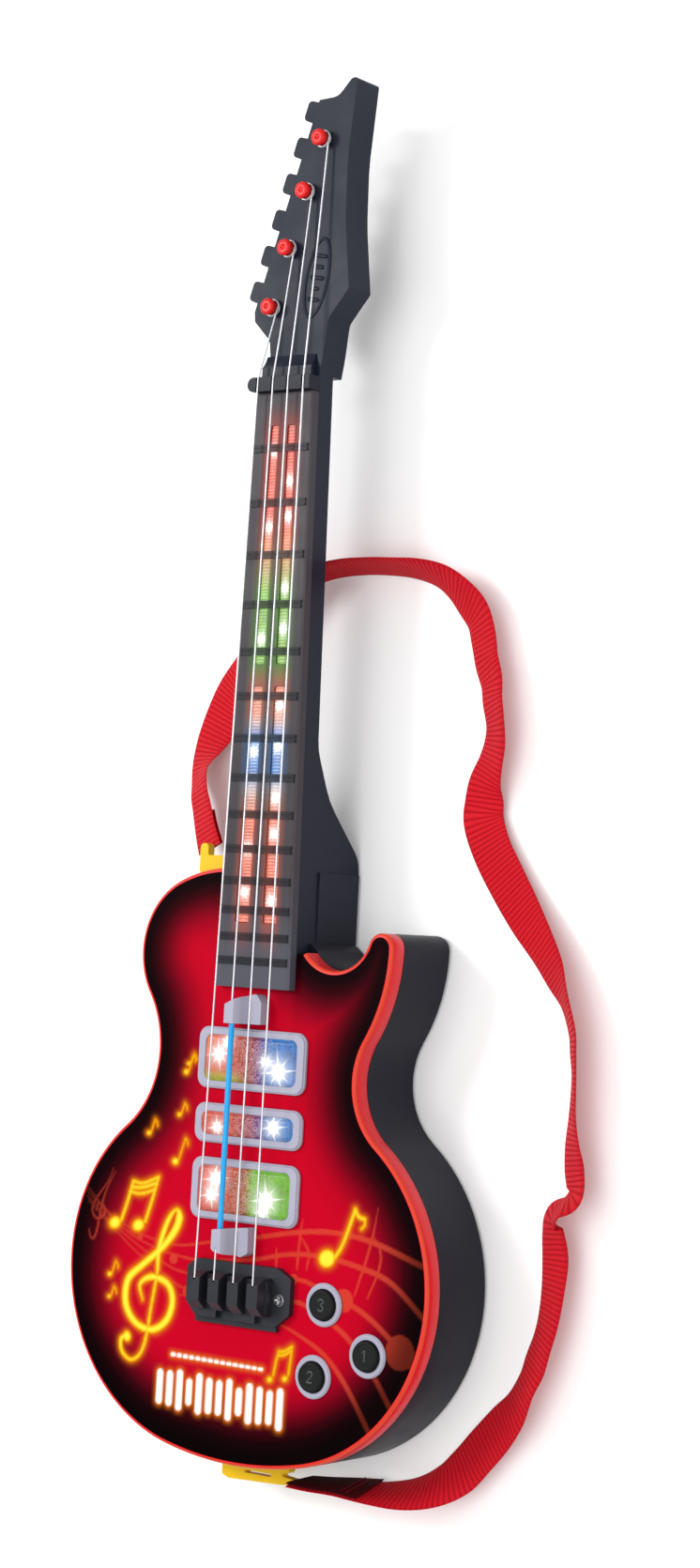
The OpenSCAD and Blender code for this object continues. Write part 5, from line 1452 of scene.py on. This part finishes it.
# ---------------------------------------------------------------- head hardware
@dataclass
class Hardware:
    """Tuning posts with their windings, and the strings."""
    posts: tuple[tuple[float, float], ...] = ((-10.1, 379.3), (-3.5, 402.3), (3.8, 424.3), (10.4, 444.6))
    head: float = 40.5
    string_r: float = 0.36
    nut_y: float = 350.4
    nut_z: float = 47.0
    bridge_z: float = 51.0
    nut_gap: float = 7.43
    bridge_gap: float = 9.5
    saddle_y: float = -1.0
    coil_r: float = 3.2
    coil_top: float = 2.1
    coil_pitch: float = 0.5
    turns: float = 2.5
    # The string under the light rod stops at the first of these heights and starts again at the second
    rod_string: int = 1
    under_rod: tuple[float, float] = (104.3, 11.2)

    def post(self, k: int) -> bpy.types.Object:
        """A turned post: a collar, a domed barrel with a flat top and a dimple in it."""
        profile = np.array([[0, -4], [2, -4], [2, 0.3], [2.45, 0.35], [2.5, 3.2], [3.0, 3.4], [3.28, 3.75],
                            [3.32, 4.3], [3.26, 4.9], [3.0, 5.4], [2.55, 5.68], [1.9, 5.76], [1.25, 5.76],
                            [0.95, 5.7], [0.75, 5.45], [0.5, 5.3], [0, 5.28]])
        x, y = self.posts[k]
        return lathe(f"string_post_{k + 1}_peg", profile, (x, y, self.head), 44, 60)

    def place(self, k: int, y: Array) -> Array:
        """Points of string k at heights y: a straight line from the nut to the bridge."""
        t = (self.nut_y - y) / self.nut_y
        x = (k - 1.5) * (self.nut_gap + (self.bridge_gap - self.nut_gap) * t)
        return np.stack([x, y, self.nut_z + (self.bridge_z - self.nut_z) * t], -1)

    def string(self, k: int) -> bpy.types.Object:
        """One string: two and a half turns of a helix round its post, down to the nut, and on to its saddle.

        Returns:
            The piece.
        """
        x, y = self.posts[k]
        turn = np.linspace(-self.turns * 2 * np.pi - 1.2, 0, 110)
        coil = np.stack([x + self.coil_r * np.cos(turn), y + self.coil_r * np.sin(turn),
                         self.head + self.coil_top + turn / (2 * np.pi) * self.coil_pitch], -1)
        ahead = coil[-1] * 0.9 + self.place(k, np.array(self.nut_y)) * 0.1
        run = smooth_path(np.array([coil[-1], ahead]), 4)[1:]
        stop = self.under_rod[0] if k == self.rod_string else self.saddle_y
        path = np.concatenate([coil, run, self.place(k, np.linspace(self.nut_y, stop, 40))])
        rings = [tube_rings(path, self.string_r, 10)]
        if k == self.rod_string:
            rings.append(tube_rings(self.place(k, np.linspace(self.under_rod[1], self.saddle_y, 6)),
                                    self.string_r, 10))
        return tubes(f"string_{k + 1}_wire", rings, 60)

    def emblem(self) -> bpy.types.Object:
        """A raised oval with five bars on the headstock: low half-round beads along closed and open paths."""
        middle, lean = np.array([10.2, 390.0]), math.radians(80.0)
        long, short, around, sides = 15.5, 5.2, 64, 12
        ahead, aside = np.array([math.cos(lean), math.sin(lean)]), np.array([math.sin(lean), -math.cos(lean)])
        turn = np.linspace(0, 2 * np.pi, around, endpoint=False)
        oval = middle + np.cos(turn)[:, None] * long * ahead + np.sin(turn)[:, None] * short * aside
        ring = np.concatenate([oval, np.full((around, 1), self.head)], 1)
        out = np.cos(turn)[:, None] * ahead / long + np.sin(turn)[:, None] * aside / short
        out = np.concatenate([out / np.linalg.norm(out, axis=1, keepdims=True), np.zeros((around, 1))], 1)
        a = np.linspace(0, 2 * np.pi, sides, endpoint=False)
        section = ring[:, None] + 0.7 * np.cos(a)[None, :, None] * out[:, None]
        section = section + 0.5 * np.sin(a)[None, :, None] * np.array([0, 0, 1.0])
        points, base = [section.reshape(-1, 3)], around * sides
        faces = [grid_faces(around, sides, ring=True, loop=True)]
        for shift, length in ((-8.6, 3.2), (-4.3, 2.0), (0.0, 3.6), (4.3, 2.4), (8.6, 3.2)):
            centre = middle + shift * ahead
            t = np.linspace(-1, 1, 14)[:, None]
            path = np.concatenate([centre + t * length * aside, np.full((len(t), 1), self.head)], 1)
            width = 0.85 * np.sqrt(np.clip(1.03 - t[:, 0] ** 8, 0, 1))
            points.append(tube_rings(path, width, sides, (0, 0, 1), 0.6).reshape(-1, 3))
            faces += tube_faces(len(t), sides, base)
            base += len(points[-1])
        return surface("headstock_emblem", np.concatenate(points), faces, 60)

    def build(self) -> None:
        """Makes each post and its string."""
        dress(self.emblem(), CHARCOAL, "body")
        for k in range(4):
            post = dress(self.post(k), PEG_RED, f"post_{k + 1}")
            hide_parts(f"string_post_{k + 1}")
            string = dress(self.string(k), STEEL_WIRE, "body")
            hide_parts(f"string_{k + 1}")
        LOG.info("four posts and four strings")


# ---------------------------------------------------------------- face parts
@dataclass
class FaceParts:
    """Buttons, rings, bridge, sensor housings, rod and strap clips."""
    buttons: tuple[tuple[float, float], ...] = BUTTONS

    def button(self, k: int) -> bpy.types.Object:
        """A cap turned from its profile: a stem, a flange under the face and a crowned top."""
        profile = np.array([[0, 33.6], [2.2, 33.6], [2.2, 36.2], [7.8, 36.2], [7.8, 37.5], [5.8, 37.5],
                            [5.8, 42.1], [5.62, 42.55], [5.2, 42.85], [4.7, 42.94], [4.5, 42.78],
                            [4.2, 42.78], [2.5, 42.82], [0, 42.84]])
        return lathe(f"button_{k + 1}_cap", profile, (*self.buttons[k], 0), 56, 40)

    def figure(self, k: int) -> bpy.types.Object:
        """A raised figure on the cap: a flattened tube along the figure's strokes."""
        shapes = (((-1.3, 1.5), (-0.4, 2.3), (0.9, 2.0), (1.1, 1.0), (0.1, 0.1), (1.2, -0.9), (0.9, -2.0),
                   (-0.4, -2.3), (-1.3, -1.6)),
                  ((-1.0, 1.3), (0.1, 2.2), (0.1, 0.8), (0.1, -0.8), (0.1, -2.2)),
                  ((-1.3, 1.3), (-0.5, 2.2), (0.9, 2.0), (1.1, 0.9), (-0.3, -0.8), (-1.3, -2.1), (0, -2.1),
                   (1.4, -2.1)))
        flat = smooth_path(np.array(shapes[k]), 40) * 0.95 + np.array(self.buttons[k])
        path = np.concatenate([flat, np.full((len(flat), 1), 42.8)], 1)
        return sweep(f"button_{k + 1}_figure", tube_rings(path, 0.42, 10, (0, 0, 1), 0.45), 60)

    def build(self) -> None:
        """Makes the caps and dresses everything that stands on the face."""
        for k in range(3):
            cap = dress(self.button(k), CAP_BLACK, f"button_{k + 1}")
            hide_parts(f"button_{k + 1}")
            dress(self.figure(k), FIGURE_BLACK, f"button_{k + 1}")
            dress(moulded_copy(f"button_ring_{k + 1}", 0.3, 30), GREY_TRIM, "body")
        for node in ("sensor_housing_upper", "sensor_housing_lower"):
            dress(moulded_copy(node, 0.9, 35, 3), GREY_TRIM, "body")
        for node in ("bridge_base", "bridge_saddles"):
            dress(moulded_copy(node, 0.35, 30), BRIDGE_BLACK, "body")
        for node in ("strap_clip_upper", "strap_clip_lower"):
            dress(moulded_copy(node, 0.5, 30), CLIP_YELLOW, "body")
        dress(moulded_copy("light_rod", 0, 40), ROD_BLUE, "body")
        dress(moulded_copy("bridge_screws", 0.12, 40), PLATED, "body")
        LOG.info("buttons, bridge, housings and clips")


@dataclass
class Inside:
    """Frame nodes that keep their own shape and get a finish, and the rubber domes."""
    # How far a dome gives way: a button's travel less the gap above the dome
    stroke: float = 1.56
    finishes: tuple[tuple[Finish, tuple[str, ...]], ...] = (
        (BOARD, ("control_board", "light_board", "neck_led_board")),
        (LAMP, ("pickup_leds", "neck_leds")),
        (Finish("Grey pressed steel", (0.09, 0.09, 0.10), Surface.SATIN, metal=0.6),
         ("speaker_frame", "speaker_magnet")),
        (CONE, ("speaker_cone",)),
        (CELL, ("batteries",)),
        (PLATED, ("battery_springs", "battery_plates", "door_screw", "body_screws", "neck_screws",
                  "heel_screws", "board_screws", "switch_body")),
        (BLACK_PLASTIC, ("battery_door",)),
        (PEG_RED, ("switch_knob",)))

    def build(self) -> None:
        """Dresses each node."""
        for finish, nodes in self.finishes:
            for node in nodes:
                dress(FRAME["nodes"][node], finish)
        for number in (1, 2, 3):
            self.dome(number)
        LOG.info("inner pieces dressed")

    def dome(self, number: int) -> None:
        """A rubber dome: a copy of its node, dressed in rubber, with its own mesh."""
        node = f"button_dome_{number}"
        dome = dress(moulded_copy(node), RUBBER, "body")
        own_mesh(dome)


def windows() -> list[LightWindow]:
    """The three pickup windows with their colours and sparkles."""
    red, peach, violet = (0.46, 0.050, 0.018), (0.50, 0.105, 0.045), (0.11, 0.035, 0.13)
    blue, green = (0.010, 0.125, 0.36), (0.095, 0.32, 0.012)
    return [
        LightWindow(1, 83.9, 8.9, ((0, peach), (0.28, red), (0.5, (0.26, 0.045, 0.035)), (0.6, violet),
                                   (0.7, blue), (1, blue)),
                    (Star(-15, 1.5, 8.5), Star(-11, 6.5, 6, 30), Star(8, 0, 6), Star(14.5, -3.5, 11)), 0.75),
        LightWindow(2, 58.4, 4.4, ((0, red), (0.3, red), (0.5, (0.28, 0.05, 0.05)), (0.62, violet),
                                   (0.74, blue), (1, blue)),
                    (Star(-14, -1.5, 6.5), Star(13.5, 0.5, 8.5))),
        LightWindow(3, 33.0, 8.9, ((0, red), (0.34, (0.40, 0.055, 0.02)), (0.52, (0.26, 0.07, 0.02)),
                                   (0.62, green), (1, green)),
                    (Star(-13, 4, 9), Star(-15, -2.5, 7.5), Star(12, -2, 10.5), Star(10, -7, 6)))]


def main() -> None:
    """Builds the guitar on its frame, piece by piece."""
    studio = Studio()
    studio.camera()
    Strap().build()
    studio.floor()
    studio.lights()
    Body(Outline()).build()
    for window in windows():
        window.build()
    LOG.info("three light windows")
    Neck().build()
    Hardware().build()
    FaceParts().build()
    Inside().build()


if __name__ == "__main__":
    logging.basicConfig(level=logging.INFO, format="%(name)s: %(message)s")
    main()
